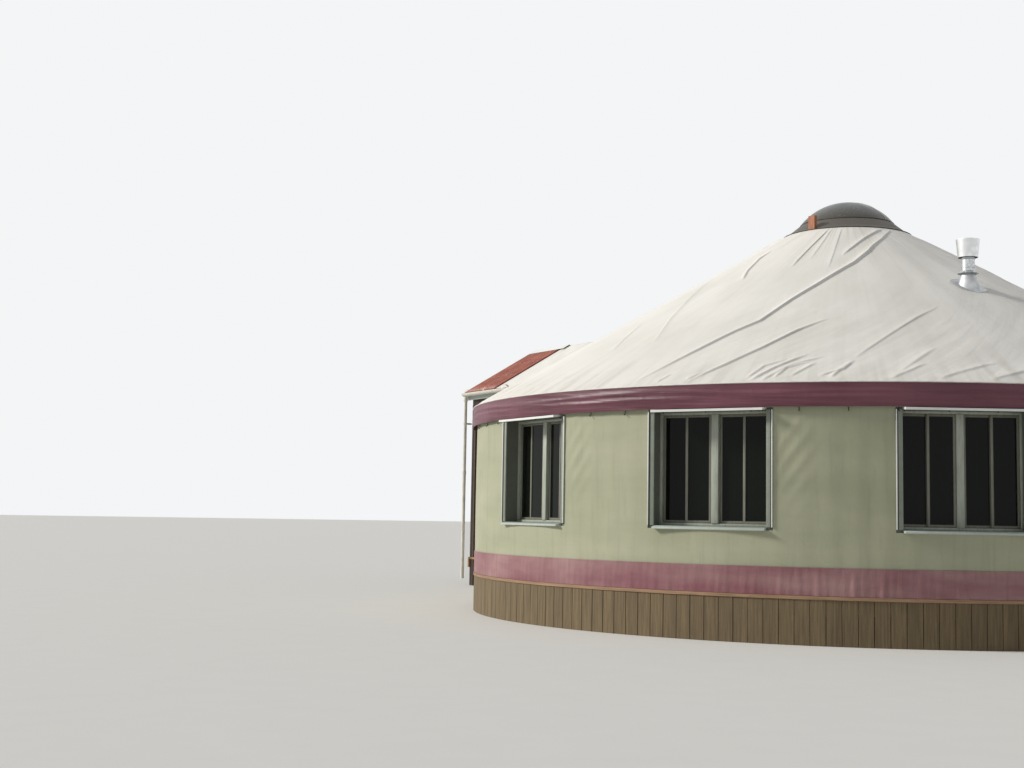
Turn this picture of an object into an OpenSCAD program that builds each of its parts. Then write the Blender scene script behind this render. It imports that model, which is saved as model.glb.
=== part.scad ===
// Round fabric house on a timber platform: a lattice wall, a cone of rafters that meet in a centre
// ring under a skylight dome, a fabric roof and wall, recessed windows and a gabled entry porch.
// Origin: on the house's axis, at ground level. +Z is up and the door faces -Y.

/* [House] */
// Outside radius of the wall fabric
wall_radius = 5030; // [4300:10:5600]
// Height of the floor above the ground
floor_height = 540; // [450:10:800]
// Height of the roof's lower edge above the floor
eave_height = 2135; // [2080:5:2400]
// Slope of the roof, in degrees
roof_pitch = 30; // [26:0.5:33]
// Reach of the roof's lower edge beyond the wall fabric
eave_overhang = 55; // [30:1:80]

/* [Fabric] */
// Thickness of the insulated roof and wall covers
cover_thickness = 12; // [6:1:16]
// Thickness of the valance and of the lower band
band_thickness = 8; // [4:1:12]
// Height of the valance that hangs from the eave
valance_height = 260; // [180:5:330]
// Height of the band along the foot of the wall
lower_band_height = 285; // [150:5:400]
// How far the wall fabric hangs below the floor
fabric_drop = 40; // [20:1:80]

/* [Platform] */
// Thickness of the floor deck
deck_thickness = 38; // [25:1:60]
// Depth of the rim and of the beams under the deck
beam_depth = 200; // [140:5:240]
// Width of a beam
beam_width = 90; // [60:1:140]
// Distance between beams, and between the piers along a beam
beam_spacing = 2000; // [1600:50:2200]
// Width of a square pier
pier_width = 200; // [120:5:300]
// Thickness of the rim board
rim_thickness = 38; // [25:1:50]
// Thickness of the skirting boards
skirt_thickness = 18; // [12:1:30]
// Number of skirting panels round the platform
skirt_panels = 24; // [12:1:36]
// Height of the wooden strip over the skirting
strip_height = 35; // [20:1:60]
// Thickness of the wooden strip over the skirting
strip_thickness = 28; // [20:1:45]

/* [Lattice wall] */
// Thickness of the lattice, two slats deep
lattice_thickness = 26; // [16:1:36]
// Width of a slat
slat_width = 38; // [25:1:50]
// Width of a diamond
diamond_width = 300; // [240:5:400]
// Height of a diamond
diamond_height = 360; // [280:5:460]
// Width of the upright battens where two lattice panels meet
batten_width = 45; // [30:1:70]
// Gap between the lattice and the studs that it is fastened to
lattice_gap = 4; // [2:1:12]
// Diameter of the tension cable on top of the lattice
cable_diameter = 12; // [8:1:16]

/* [Roof frame] */
// Number of rafters
rafter_count = 48; // [24:12:60]
// Width of a rafter
rafter_width = 38; // [30:1:50]
// Depth of a rafter, square to its length
rafter_depth = 89; // [75:1:110]
// Depth of the notch that seats a rafter on the cable
notch_depth = 3; // [1:0.5:5]
// Outside radius of the centre ring
ring_radius = 720; // [640:5:800]
// Thickness of the centre ring in plan
ring_width = 80; // [50:1:110]
// Height of the centre ring
ring_height = 190; // [150:5:240]

/* [Skylight dome] */
// How far the bubble's side stands inside the outside of the centre ring
dome_inset = 105; // [85:5:160]
// Rise of the bubble above its flange
dome_rise = 325; // [200:5:400]
// Radius of the bend from the bubble's upright side to its crown
shoulder_radius = 60; // [30:5:120]
// Thickness of the bubble
dome_thickness = 6; // [4:1:10]
// Width of the flange round the bubble
flange_width = 20; // [15:1:30]
// Height of the sloping curb from the roof to the bubble
curb_height = 130; // [100:5:220]
// How far the foot of the curb's slope reaches beyond the centre ring
curb_spread = 70; // [20:5:120]
// Width of the apron that laps onto the roof
apron_width = 70; // [40:5:150]
// Thickness of the apron
apron_thickness = 5; // [3:1:10]

/* [Windows] */
// Number of equal bays round the wall
bay_count = 12; // [10:1:14]
// Width of a window over its frame
window_width = 1400; // [1100:10:1550]
// Height of the window sill above the floor
sill_height = 640; // [500:10:800]
// Gap between the valance's hem and the window head
head_gap = 18; // [14:1:60]
// Thickness of the studs beside a window or the door
stud_thickness = 60; // [38:1:80]
// Depth of the timber boxes that line the openings
buck_depth = 215; // [140:5:240]
// Width of the boards that trim a window
trim_width = 70; // [60:1:90]
// Thickness of the boards that trim a window
trim_thickness = 20; // [12:1:30]
// Depth of the sliding window unit
unit_depth = 60; // [50:1:80]
// Width of the post in the middle of a window unit
mullion_width = 80; // [60:1:100]
// Width of the rails and stiles of the units
stile_width = 28; // [22:1:50]
// Thickness of a glass pane
glass_thickness = 8; // [4:1:10]
// How far the caps over the windows stand out from the trim
cap_reach = 110; // [60:5:140]

/* [Door] */
// Width of the door leaf
door_width = 864; // [760:1:960]
// Height of the door leaf
door_height = 1900; // [1700:10:1910]
// Thickness of the door leaf
door_thickness = 44; // [35:1:60]
// Gap round the door leaf
door_gap = 3; // [2:0.5:5]

/* [Stove pipe] */
// Diameter of the stove pipe
pipe_diameter = 155; // [120:1:200]
// Distance of the pipe from the house's axis
pipe_offset = 2650; // [2000:10:3200]
// Number of rafter spaces from +X round to the pipe
pipe_bay = 10.5; // [9.5:1:12.5]
// Height of the cap's top above the roof at the pipe
pipe_rise = 580; // [450:5:800]
// Height of the drum-shaped cap
cap_height = 240; // [180:5:300]
// Radius of the cap at its top
cap_radius = 138; // [110:1:180]

/* [Porch] */
// Distance from the house's axis to the porch roof's outer end
porch_reach = 8260; // [7200:10:8800]
// Half of the porch roof's width
porch_half = 1465; // [1200:5:1600]
// Height of the porch ridge above the floor
porch_ridge = 3780; // [3500:10:4000]
// Slope of the porch roof, in degrees
porch_pitch = 30.5; // [26:0.5:34]
// Length of the corrugated roofing
metal_length = 1050; // [700:10:1400]
// Distance between two waves of the roofing
wave_pitch = 76; // [60:1:90]
// Height of a wave of the roofing
wave_height = 18; // [10:1:24]
// Thickness of the corrugated roofing
metal_thickness = 2; // [1:0.5:4]
// Thickness of the roof boards of the porch
board_thickness = 16; // [12:1:25]
// Thickness of the white membrane on the porch
membrane_thickness = 8; // [4:1:12]
// Width of the square porch posts
post_width = 120; // [90:5:150]
// How far the porch posts' centres stand inside the edge of the porch roof
post_inset = 165; // [120:5:260]
// Width of the porch beams
porch_beam_width = 90; // [60:1:110]
// Depth of the porch beams
porch_beam_depth = 180; // [140:5:220]
// Width of the porch rafters
porch_rafter_width = 38; // [30:1:50]
// Depth of the porch rafters
porch_rafter_depth = 120; // [90:5:140]
// Distance between the porch rafters
porch_rafter_spacing = 600; // [400:10:700]
// Height of the side panels above the porch deck
side_panel_height = 610; // [450:10:900]
// Radius of the half-round gutters
gutter_radius = 60; // [45:1:75]
// Diameter of the downspouts
downspout_diameter = 60; // [50:1:80]

/* [Hidden] */
$fn = 96;
wide_fn = 288;

timber_color = "#b98a5a";
frame_color = "#c3a27a";
pale_color = "#c3cac6";
wall_color = "#a3a58d";
roof_color = "#e6e3dc";
burgundy_color = "#6a3449";
tan_color = "#9a7a58";
red_color = "#b4553f";
pvc_color = "#e8e6d8";
dome_color = "#4a4644";
steel_color = "#c9ccce";
glass_color = "#5c6a6c";
dark_color = "#3a2e28";

seat_gap = 0.5;
far = 20000;
door_side = 270;
bay_angle = 360 / bay_count;
window_bays = [0, 1, 2, 4, 5, 6];

eave_z = floor_height + eave_height;
eave_radius = wall_radius + eave_overhang;
cover_inside = wall_radius - cover_thickness;
deck_radius = cover_inside - 2;
fabric_foot = floor_height - fabric_drop;
beam_top = floor_height - deck_thickness;
beam_foot = beam_top - beam_depth;
strip_top = fabric_foot - 2;
strip_foot = strip_top - strip_height;

roof_drop = cover_thickness / cos(roof_pitch);
rafter_drop = rafter_depth / cos(roof_pitch);
lattice_outside = cover_inside - 2;
lattice_inside = lattice_outside - lattice_thickness;
cable_radius = cable_diameter / 2;
cable_ring = (lattice_inside + lattice_outside) / 2;

// Height of the roof cover's outer face at a distance from the axis
function roof_z(r) = eave_z + (eave_radius - r) * tan(roof_pitch);
// Height of the rafters' upper and lower edges at a distance from the axis
function rafter_top_z(r) = roof_z(r) - roof_drop - seat_gap;
function rafter_foot_z(r) = rafter_top_z(r) - rafter_drop;
// Distance of a flat face from the axis when its edges, half apart, lie on a radius
function flat_face_x(r, half) = sqrt(r * r - half * half);

cable_z = rafter_foot_z(cable_ring) + notch_depth - cable_radius;
lattice_top = cable_z - cable_radius;
lattice_height = lattice_top - floor_height;
cover_top = rafter_foot_z(wall_radius) - 4;

window_half = window_width / 2;
window_face = flat_face_x(wall_radius + 5, window_half);
buck_face = window_face - trim_thickness;
sill_z = floor_height + sill_height;
head_z = eave_z - valance_height - head_gap;
door_frame_thickness = 32;
door_sill_height = 25;
door_half = door_width / 2 + door_gap + door_frame_thickness + stud_thickness;
door_face = flat_face_x(wall_radius + 5, door_half);
door_head_z = floor_height + door_sill_height + door_height + 2 * door_gap;

ring_inside = ring_radius - ring_width;
ring_top = rafter_top_z(ring_radius);
cover_eye = ring_radius - 30;
curb_radius = ring_radius + curb_spread;
apron_radius = curb_radius + apron_width;
apron_gap = 2;
curb_top = roof_z(curb_radius) + curb_height;
dome_radius = ring_radius - dome_inset;
flange_radius = dome_radius + flange_width;
flange_top = curb_top + dome_thickness;
clamp_height = 8;
shoulder_z = flange_top + clamp_height + 2;
bend_x = dome_radius - shoulder_radius;
crown_rise = flange_top + dome_rise - shoulder_z;
crown_radius = (pow(bend_x, 2) + pow(crown_rise, 2) - pow(shoulder_radius, 2))
    / (2 * (crown_rise - shoulder_radius));
crown_z = flange_top + dome_rise - crown_radius;
shoulder_angle = acos(bend_x / (crown_radius - shoulder_radius));

pipe_angle = pipe_bay * 360 / rafter_count;
pipe_roof_z = roof_z(pipe_offset);
flashing_thickness = 4;

porch_ridge_z = floor_height + porch_ridge;
porch_slope = porch_half / cos(porch_pitch);
layer_top = -(wave_height / 2 + metal_thickness / 2 + 2);
board_top = layer_top - membrane_thickness;
rafter_face = board_top - board_thickness;
fascia_thickness = 25;
post_offset = porch_half - post_inset;
fascia_inset = 65;
fascia_x = porch_half - fascia_inset;
post_setback = 160;
post_wall_gap = 190;
outer_post_y = -(porch_reach - post_setback);
inner_post_y = -(wall_radius + post_wall_gap);
door_step = 40;
porch_deck_top = floor_height - door_step;
plank_thickness = 38;
joist_depth = 140;

// Height of the underside of the porch rafters at a distance from the middle line
function porch_foot_z(x) = porch_ridge_z - x * tan(porch_pitch)
    + (rafter_face - porch_rafter_depth) / cos(porch_pitch);
porch_beam_top = porch_foot_z(post_offset - porch_beam_width / 2);
porch_beam_foot = porch_beam_top - porch_beam_depth;
gutter_gap = 1;
gutter_thickness = 4;
gutter_x = fascia_x + fascia_thickness + gutter_radius + gutter_gap;
gutter_drop = 24;
gutter_wall_gap = 250;
downspout_setback = 60;
gutter_z = porch_ridge_z - porch_half * tan(porch_pitch) - gutter_drop;
gutter_outer_y = -porch_reach;
gutter_inner_y = -(wall_radius + gutter_wall_gap);
downspout_y = -(porch_reach - downspout_setback);

module at_angle(angle) {
    rotate([0, 0, angle]) children();
}

module at_windows() {
    for (bay = window_bays) at_angle(bay * bay_angle) children();
}

module ring(inside, outside, foot, height) {
    translate([0, 0, foot]) difference() {
        cylinder(r = outside, h = height, $fn = wide_fn);
        translate([0, 0, -1]) cylinder(r = inside, h = height + 2, $fn = wide_fn);
    }
}

module ring_arc(inside, outside, foot, height, start, end) {
    rotate([0, 0, start]) rotate_extrude(angle = end - start, $fn = wide_fn)
        translate([inside, foot]) square([outside - inside, height]);
}

panel_gap = 3;

// The space under the roof's outer face, raised by a clearance
module under_roof(clearance) {
    rotate_extrude($fn = wide_fn) polygon([[0, 0], [eave_radius, 0],
        [eave_radius, eave_z + clearance], [0, roof_z(0) + clearance]]);
}

// Points along an arc, from one angle to another
function arc_points(centre, radius, from, to, count, first = 0) = [for (i = [first : count])
    let (angle = from + (to - from) * i / count) centre + radius * [cos(angle), sin(angle)]];
// A list of points in the other order
function reversed(list) = [for (i = [len(list) - 1 : -1 : 0]) list[i]];

// Box whose y is centred, for the pieces that stand in an opening
module face_box(x0, x1, width, z0, z1, y = 0) {
    translate([x0, y - width / 2, z0]) cube([x1 - x0, width, z1 - z0]);
}

module platform_deck() {
    color(frame_color) translate([0, 0, beam_top])
        cylinder(r = deck_radius, h = deck_thickness, $fn = wide_fn);
}

// Rows of beams at each side of the middle one, with room for a pier inside the rim
beam_rows = floor((deck_radius - pier_width) / beam_spacing);

module platform_frame() {
    rim_inside = deck_radius - rim_thickness;
    color(timber_color) {
        ring(rim_inside, deck_radius, beam_foot, beam_depth);
        for (row = [-beam_rows : beam_rows]) {
            y = row * beam_spacing;
            half = flat_face_x(rim_inside, abs(y) + beam_width / 2) + rim_thickness / 3;
            translate([-half, y - beam_width / 2, beam_foot])
                cube([2 * half, beam_width, beam_depth]);
        }
    }
}

module platform_piers() {
    color("#8f8a80") for (y = [-beam_rows : beam_rows], x = [-beam_rows : beam_rows])
        if (norm([x, y]) * beam_spacing < deck_radius - pier_width)
            translate([x * beam_spacing - pier_width / 2, y * beam_spacing - pier_width / 2, 0])
                cube([pier_width, pier_width, beam_foot]);
}

module skirting() {
    step = 360 / skirt_panels;
    gap = panel_gap / deck_radius * 180 / PI;
    inside = deck_radius + seat_gap;
    color(tan_color) for (i = [0 : skirt_panels - 1])
        ring_arc(inside, inside + skirt_thickness, 0, strip_foot,
            i * step + gap / 2, (i + 1) * step - gap / 2);
}

module skirting_strip() {
    inside = deck_radius + seat_gap;
    color("#c98f72") ring(inside, inside + strip_thickness, strip_foot, strip_height);
}

// Flat pattern of crossed slats for one panel, w wide and a whole number of diamonds across
module slat_pattern(w, arc, h) {
    columns = round(arc / diamond_width);
    rise = columns * diamond_height;
    first = -columns - 1;
    last = ceil(h / diamond_height) + 1;
    half = slat_width / 2 / cos(atan2(rise, w));
    intersection() {
        square([w, h]);
        union() for (k = [first : last]) {
            z = (k + 0.5) * diamond_height;
            polygon([[0, z - half], [w, z + rise - half], [w, z + rise + half], [0, z + half]]);
            polygon([[0, z + rise - half], [w, z - half], [w, z + half], [0, z + rise + half]]);
        }
    }
}

// One curved panel, cut from a thin shell by the flat pattern seen along its middle radius
module lattice_panel(middle, half_angle) {
    side = 2 * lattice_outside * sin(half_angle);
    arc = 2 * lattice_outside * half_angle * PI / 180;
    at_angle(middle) intersection() {
        ring_arc(lattice_inside, lattice_outside, floor_height, lattice_height,
            -half_angle - 1, half_angle + 1);
        translate([lattice_inside - 100, -side / 2, floor_height])
            rotate([90, 0, 90]) linear_extrude(200) slat_pattern(side, arc, lattice_height);
    }
}

batten_depth = 0.7 * lattice_thickness;

// Upright batten that two panels are let into, thinner than they are
module lattice_batten() {
    face_box(cable_ring - batten_depth / 2, cable_ring + batten_depth / 2, batten_width,
        floor_height, lattice_top);
}

// Row of panels between two angles, with a batten at each end and where two panels meet
module lattice_row(start, end) {
    edge = batten_width / 2 / lattice_inside * 180 / PI;
    panel_end = batten_width / 6 / lattice_inside * 180 / PI;
    count = ceil((end - start) / 16);
    step = (end - start - 2 * edge) / count;
    color(frame_color) {
        for (i = [0 : count - 1])
            lattice_panel(start + edge + (i + 0.5) * step, step / 2 - panel_end);
        for (i = [0 : count]) at_angle(start + edge + i * step) lattice_batten();
    }
}

stud_angle = asin((window_half + lattice_gap) / lattice_inside);
door_angle = asin((door_half + lattice_gap) / lattice_inside);

module lattice_east() {
    for (bay = [0, 1])
        lattice_row(bay * bay_angle + stud_angle, (bay + 1) * bay_angle - stud_angle);
}

module lattice_north() {
    lattice_row(2 * bay_angle + stud_angle, 4 * bay_angle - stud_angle);
}

module lattice_west() {
    for (bay = [4, 5])
        lattice_row(bay * bay_angle + stud_angle, (bay + 1) * bay_angle - stud_angle);
}

module lattice_southwest() {
    lattice_row(6 * bay_angle + stud_angle, door_side - door_angle);
}

module lattice_southeast() {
    lattice_row(door_side + door_angle, 360 - stud_angle);
}

module tension_cable() {
    color(steel_color) rotate_extrude() translate([cable_ring, cable_z]) circle(d = cable_diameter);
}

notch_width = 16;

module rafter() {
    tail = wall_radius + eave_overhang / 2;
    notch_top = cable_z + cable_radius;
    rotate([90, 0, 0]) translate([0, 0, -rafter_width / 2]) linear_extrude(rafter_width)
        difference() {
            polygon([[ring_radius, rafter_top_z(ring_radius)], [tail, rafter_top_z(tail)],
                [tail, rafter_foot_z(tail)], [ring_radius, rafter_foot_z(ring_radius)]]);
            translate([cable_ring - notch_width / 2, notch_top - rafter_depth / 3])
                square([notch_width, rafter_depth / 3]);
        }
}

module rafter_half(first) {
    color(timber_color) for (i = [first : first + rafter_count / 2 - 1])
        at_angle(i * 360 / rafter_count) rafter();
}

module rafters_east() {
    rafter_half(-rafter_count / 4);
}

module rafters_west() {
    rafter_half(rafter_count / 4);
}

strap_groove = [6, 30];

// Ring with a groove low on its outside for the steel strap that holds the rafters' feet in
module centre_ring() {
    ring_foot = ring_top - ring_height;
    color(timber_color) difference() {
        ring(ring_inside, ring_radius, ring_foot, ring_height);
        ring(ring_radius - strap_groove[0], ring_radius + 10, ring_foot + 20, strap_groove[1]);
    }
}

plate_thickness = 38;
header_depth = 89;

// Timber boxes: two studs, a foot plate, a sill, a header over the window and a plate on top
module window_bucks() {
    clear = window_width - 2 * stud_thickness;
    top = lattice_top - 1;
    color(frame_color) at_windows() difference() {
        face_box(buck_face - buck_depth, buck_face, window_width, floor_height, top);
        face_box(0, far, clear, sill_z, head_z);
        face_box(0, far, clear, floor_height + plate_thickness, sill_z - plate_thickness);
        face_box(0, far, clear, head_z + header_depth, top - plate_thickness);
    }
}

ledge_reach = 80;
ledge_fall = 16;
ledge_back = 30;
ledge_front = 20;

// Boards on the studs beside the window and a ledge that slopes outwards under it
module window_trim() {
    clear = window_width - 2 * trim_width;
    color(pale_color) at_windows() {
        for (side = [-1, 1])
            face_box(buck_face, window_face, trim_width, sill_z, head_z,
                side * (clear + trim_width) / 2);
        translate([buck_face, 0, sill_z]) rotate([90, 0, 0])
            translate([0, 0, -clear / 2]) linear_extrude(clear)
                polygon([[0, -ledge_back], [ledge_reach, -ledge_fall - ledge_front],
                    [ledge_reach, -ledge_fall], [0, 0]]);
    }
}

cap_board = 26;
cap_fall = 14;
cap_taper = 2;

// Caps that fall outwards over the windows, between the boards beside them
module window_caps() {
    clear = window_width - 2 * trim_width;
    reach = trim_thickness + cap_reach;
    color("#eceeea") at_windows() translate([buck_face, 0, head_z]) rotate([90, 0, 0])
        translate([0, 0, -clear / 2]) linear_extrude(clear)
            polygon([[0, 0], [reach, -cap_fall], [reach, cap_board - cap_fall - cap_taper],
                [0, cap_board]]);
}

// Frame of a sliding unit, drawn flat: y is its width and z its height
module sash(x, width, height, y, z) {
    translate([x, y, z]) difference() {
        cube([unit_depth / 2 - 4, width, height]);
        translate([-1, stile_width, stile_width])
            cube([unit_depth, width - 2 * stile_width, height - 2 * stile_width]);
    }
}

unit_width = window_width - 2 * stud_thickness;
unit_height = head_z - sill_z;
unit_x = buck_face - buck_depth;
light_width = (unit_width - mullion_width - 2 * stile_width) / 2;
sash_width = (light_width + stile_width) / 2;
sash_height = unit_height - 2 * stile_width;

module window_sashes() {
    color(pale_color) at_windows() {
        difference() {
            face_box(unit_x, unit_x + unit_depth, unit_width, sill_z, head_z);
            for (side = [-1, 1])
                face_box(0, far, light_width, sill_z + stile_width, head_z - stile_width,
                    side * (mullion_width + light_width) / 2);
        }
        for (left = [-unit_width / 2 + stile_width, mullion_width / 2]) {
            sash(unit_x + 2, sash_width, sash_height, left, sill_z + stile_width);
            sash(unit_x + unit_depth / 2 + 2, sash_width, sash_height,
                left + light_width - sash_width, sill_z + stile_width);
        }
    }
}

module window_glass() {
    pane = [glass_thickness, sash_width - 2 * stile_width, sash_height - 2 * stile_width];
    foot = sill_z + 2 * stile_width;
    color(glass_color, 0.5) at_windows()
        for (left = [-unit_width / 2 + stile_width, mullion_width / 2]) {
            translate([unit_x + 10, left + stile_width, foot]) cube(pane);
            translate([unit_x + unit_depth / 2 + 10, left + light_width - sash_width + stile_width, foot])
                cube(pane);
        }
}

threshold_reach = 60;

// Frame with its threshold, which runs out a little over the porch
module door_frame() {
    inner = door_width + 2 * door_gap;
    color(frame_color) at_angle(door_side) {
        difference() {
            face_box(door_face - trim_thickness - buck_depth, door_face, 2 * door_half,
                floor_height, lattice_top - 1);
            face_box(0, far, inner, floor_height + door_sill_height, door_head_z);
        }
        face_box(door_face, door_face + threshold_reach, inner,
            floor_height + 4, floor_height + door_sill_height);
    }
}

door_x = door_face - 70 - door_thickness;
door_foot = floor_height + door_sill_height + door_gap;
door_window = [door_width - 300, 700];
door_window_foot = door_foot + door_height - 150 - door_window[1];
panel_recess = 8;

// Leaf with a window over a panel that is sunk in both faces
module door_leaf() {
    color(burgundy_color) at_angle(door_side) difference() {
        face_box(door_x, door_x + door_thickness, door_width, door_foot, door_foot + door_height);
        face_box(0, far, door_window[0], door_window_foot, door_window_foot + door_window[1]);
        for (face = [door_x, door_x + door_thickness])
            face_box(face - panel_recess, face + panel_recess,
                door_window[0], door_foot + 180, door_window_foot - 130);
    }
}

module door_glass() {
    middle = door_x + door_thickness / 2;
    color(glass_color, 0.5) at_angle(door_side)
        face_box(middle - glass_thickness / 2, middle + glass_thickness / 2,
            door_window[0], door_window_foot, door_window_foot + door_window[1]);
}

module door_handle() {
    y = door_width / 2 - 70;
    z = floor_height + 1000;
    color(steel_color) at_angle(door_side) for (side = [-1, 1])
        translate([door_x + door_thickness / 2 + side * door_thickness / 2, y, z]) {
            translate([side > 0 ? 0 : -6, -22, -90]) cube([6, 44, 200]);
            rotate([0, side * 90, 0]) cylinder(d = 20, h = 60);
            translate([side * 48, 0, 0]) rotate([90, 0, 0]) cylinder(d = 16, h = 120);
        }
}

// Gap between the wall fabric and the boards in an opening
cloth_gap = 2;
hole_depth = 60;

module window_holes() {
    foot = sill_z - ledge_fall - ledge_front - 2 * cloth_gap;
    at_windows() face_box(buck_face - hole_depth, far, window_width + 2 * cloth_gap,
        foot, head_z + cap_board + cloth_gap);
}

module door_hole() {
    at_angle(door_side) face_box(door_face - 200, far, 2 * door_half + 4, 0, far);
}

module wall_cover(start, end) {
    seam = 1 / wall_radius * 180 / PI;
    color(wall_color) difference() {
        ring_arc(cover_inside, wall_radius, fabric_foot, cover_top - fabric_foot, start + seam, end - seam);
        window_holes();
        door_hole();
    }
}

module wall_cover_east() {
    wall_cover(-bay_angle / 2, 3 * bay_angle);
}

module wall_cover_west() {
    wall_cover(3 * bay_angle, 6.5 * bay_angle);
}

module wall_cover_southwest() {
    wall_cover(6.5 * bay_angle, door_side);
}

module wall_cover_southeast() {
    wall_cover(door_side, 360 - bay_angle / 2);
}

module lower_band() {
    color(burgundy_color) difference() {
        ring(wall_radius + seat_gap, wall_radius + seat_gap + band_thickness,
            fabric_foot, lower_band_height);
        door_hole();
    }
}

module valance() {
    color(burgundy_color) difference() {
        ring(eave_radius + seat_gap, eave_radius + seat_gap + band_thickness,
            eave_z - valance_height, valance_height);
        door_hole();
    }
}

// Gap between the pipe and the roof fabric
pipe_clearance = 30;

module roof_cover() {
    color(roof_color) difference() {
        rotate_extrude($fn = wide_fn) polygon([[cover_eye, roof_z(cover_eye)], [eave_radius, eave_z],
            [eave_radius, eave_z - roof_drop], [cover_eye, roof_z(cover_eye) - roof_drop]]);
        at_angle(pipe_angle) translate([pipe_offset, 0, 0])
            cylinder(d = pipe_diameter + 2 * pipe_clearance, h = far);
    }
}

// Curb that stands on the centre ring, slopes up to the bubble and laps onto the roof
module dome_curb() {
    sleeve = cover_eye - apron_gap;
    lap = apron_gap + apron_thickness;
    color(dome_color) rotate_extrude() polygon([[ring_inside, ring_top], [sleeve, ring_top],
        [sleeve, roof_z(sleeve) + apron_gap], [apron_radius, roof_z(apron_radius) + apron_gap],
        [apron_radius, roof_z(apron_radius) + lap], [curb_radius, roof_z(curb_radius) + lap],
        [flange_radius + 5, curb_top], [dome_radius - 3 * dome_thickness, curb_top]]);
}

// Line of the bubble from its upright side to the middle of its crown, set in from the outside
function bubble_line(inset) = concat(
    arc_points([bend_x, shoulder_z], shoulder_radius - inset, 0, shoulder_angle, 6),
    arc_points([0, crown_z], crown_radius - inset, shoulder_angle, 90, 14, 1));

module dome() {
    color(dome_color, 0.6) rotate_extrude() polygon(concat(
        [[flange_radius, flange_top], [dome_radius, flange_top]],
        bubble_line(0), reversed(bubble_line(dome_thickness)),
        [[dome_radius - dome_thickness, curb_top], [flange_radius, curb_top]]));
}

module dome_clamp() {
    color("#6e6c68") ring(dome_radius + 4, flange_radius, flange_top, clamp_height);
}

block_angle = 14;
block_size = [60, 95, 150];

// Block that stands on the apron in front of the curb, its foot cut to the roof's slope
module dome_block() {
    back = curb_radius + 2;
    front = back + block_size[0];
    lap = apron_gap + apron_thickness + seat_gap;
    top = roof_z(back) + lap + block_size[2];
    color("#a8664c") at_angle(block_angle) rotate([90, 0, 0])
        translate([0, 0, -block_size[1] / 2]) linear_extrude(block_size[1])
            polygon([[back, roof_z(back) + lap], [front, roof_z(front) + lap],
                [front, top], [back, top]]);
}

tie_angle = 102;
tie_width = 12;
tie_thickness = 6;

// A line from the right to the middle, carried on to the left
function both_halves(line) =
    concat(line, [for (i = [len(line) - 2 : -1 : 0]) [-line[i][0], line[i][1]]]);

// Strap that follows the bubble from the clamp at one side to the clamp at the other
module dome_tie() {
    inner = both_halves(bubble_line(-seat_gap));
    outer = both_halves(bubble_line(-seat_gap - tie_thickness));
    color(pale_color) at_angle(tie_angle) rotate([90, 0, 0])
        linear_extrude(tie_width, center = true) polygon(concat(inner, reversed(outer)));
}

module at_pipe() {
    at_angle(pipe_angle) translate([pipe_offset, 0, 0]) children();
}

cap_foot = pipe_roof_z + pipe_rise - cap_height;

pipe_tail = 350;
pipe_lap = 90;
pipe_wall = 3;

module stove_pipe() {
    foot = pipe_roof_z - pipe_tail;
    top = cap_foot + pipe_lap;
    color(steel_color) at_pipe() translate([0, 0, foot]) difference() {
        cylinder(d = pipe_diameter, h = top - foot);
        translate([0, 0, -1]) cylinder(d = pipe_diameter - 2 * pipe_wall, h = top - foot + 2);
    }
}

// Frame at the pipe that lies in the slope of the roof
module at_pipe_slope() {
    at_pipe() translate([0, 0, pipe_roof_z + seat_gap]) rotate([0, roof_pitch, 0]) children();
}

module pipe_flashing() {
    color("#8d9092") difference() {
        union() {
            at_pipe_slope() cylinder(r = pipe_diameter / 2 + 140, h = flashing_thickness);
            difference() {
                at_pipe() translate([0, 0, pipe_roof_z - 100])
                    cylinder(r1 = pipe_diameter / 2 + 75, r2 = pipe_diameter / 2 + 6, h = 240);
                at_pipe_slope() translate([-far / 2, -far / 2, flashing_thickness / 2 - far])
                    cube(far);
            }
        }
        at_pipe() cylinder(d = pipe_diameter + 1, h = far);
    }
}

module pipe_cap() {
    r = pipe_diameter / 2;
    color(steel_color) at_pipe() translate([0, 0, cap_foot]) {
        rotate_extrude() polygon([[cap_radius - 24, 0], [cap_radius - 20, 0],
            [cap_radius, cap_height - 30], [cap_radius, cap_height - 22], [0, cap_height],
            [0, cap_height - 4], [cap_radius - 4, cap_height - 26]]);
        rotate_extrude() polygon([[r, 20], [r + 3, 20], [r + 3, 84], [r, 84]]);
        for (side = [0 : 2]) rotate([0, 0, side * 120 + 30])
            translate([r + 1, -10, 30]) cube([cap_radius - 20 - r, 20, 4]);
    }
}

module at_slope(side) {
    mirror([side < 0 ? 1 : 0, 0, 0]) translate([0, 0, porch_ridge_z])
        rotate([0, porch_pitch, 0]) children();
}

// Slab in the plane of the porch roof: x runs down the slope and z is square to it
module slope_slab(x0, x1, y0, y1, z0, z1) {
    translate([x0, y0, z0]) cube([x1 - x0, y1 - y0, z1 - z0]);
}

module both_sides() {
    for (side = [-1, 1]) mirror([side < 0 ? 1 : 0, 0, 0]) children();
}

module post_holes() {
    both_sides() for (y = [outer_post_y, inner_post_y])
        translate([post_offset - post_width / 2 - 1, y - post_width / 2 - 1, -1])
            cube([post_width + 2, post_width + 2, far]);
}

deck_outer_y = outer_post_y - post_width / 2 - 40;
deck_half = post_offset + post_width / 2 + 20;

// Deck with square holes for the posts and a round edge along the skirting
module porch_deck() {
    color(timber_color) difference() {
        translate([-deck_half, deck_outer_y, porch_deck_top - plank_thickness])
            cube([2 * deck_half, -deck_outer_y, plank_thickness]);
        translate([0, 0, -1]) cylinder(r = wall_radius + 30, h = far, $fn = wide_fn);
        post_holes();
    }
}

joist_width = 44;

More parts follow.
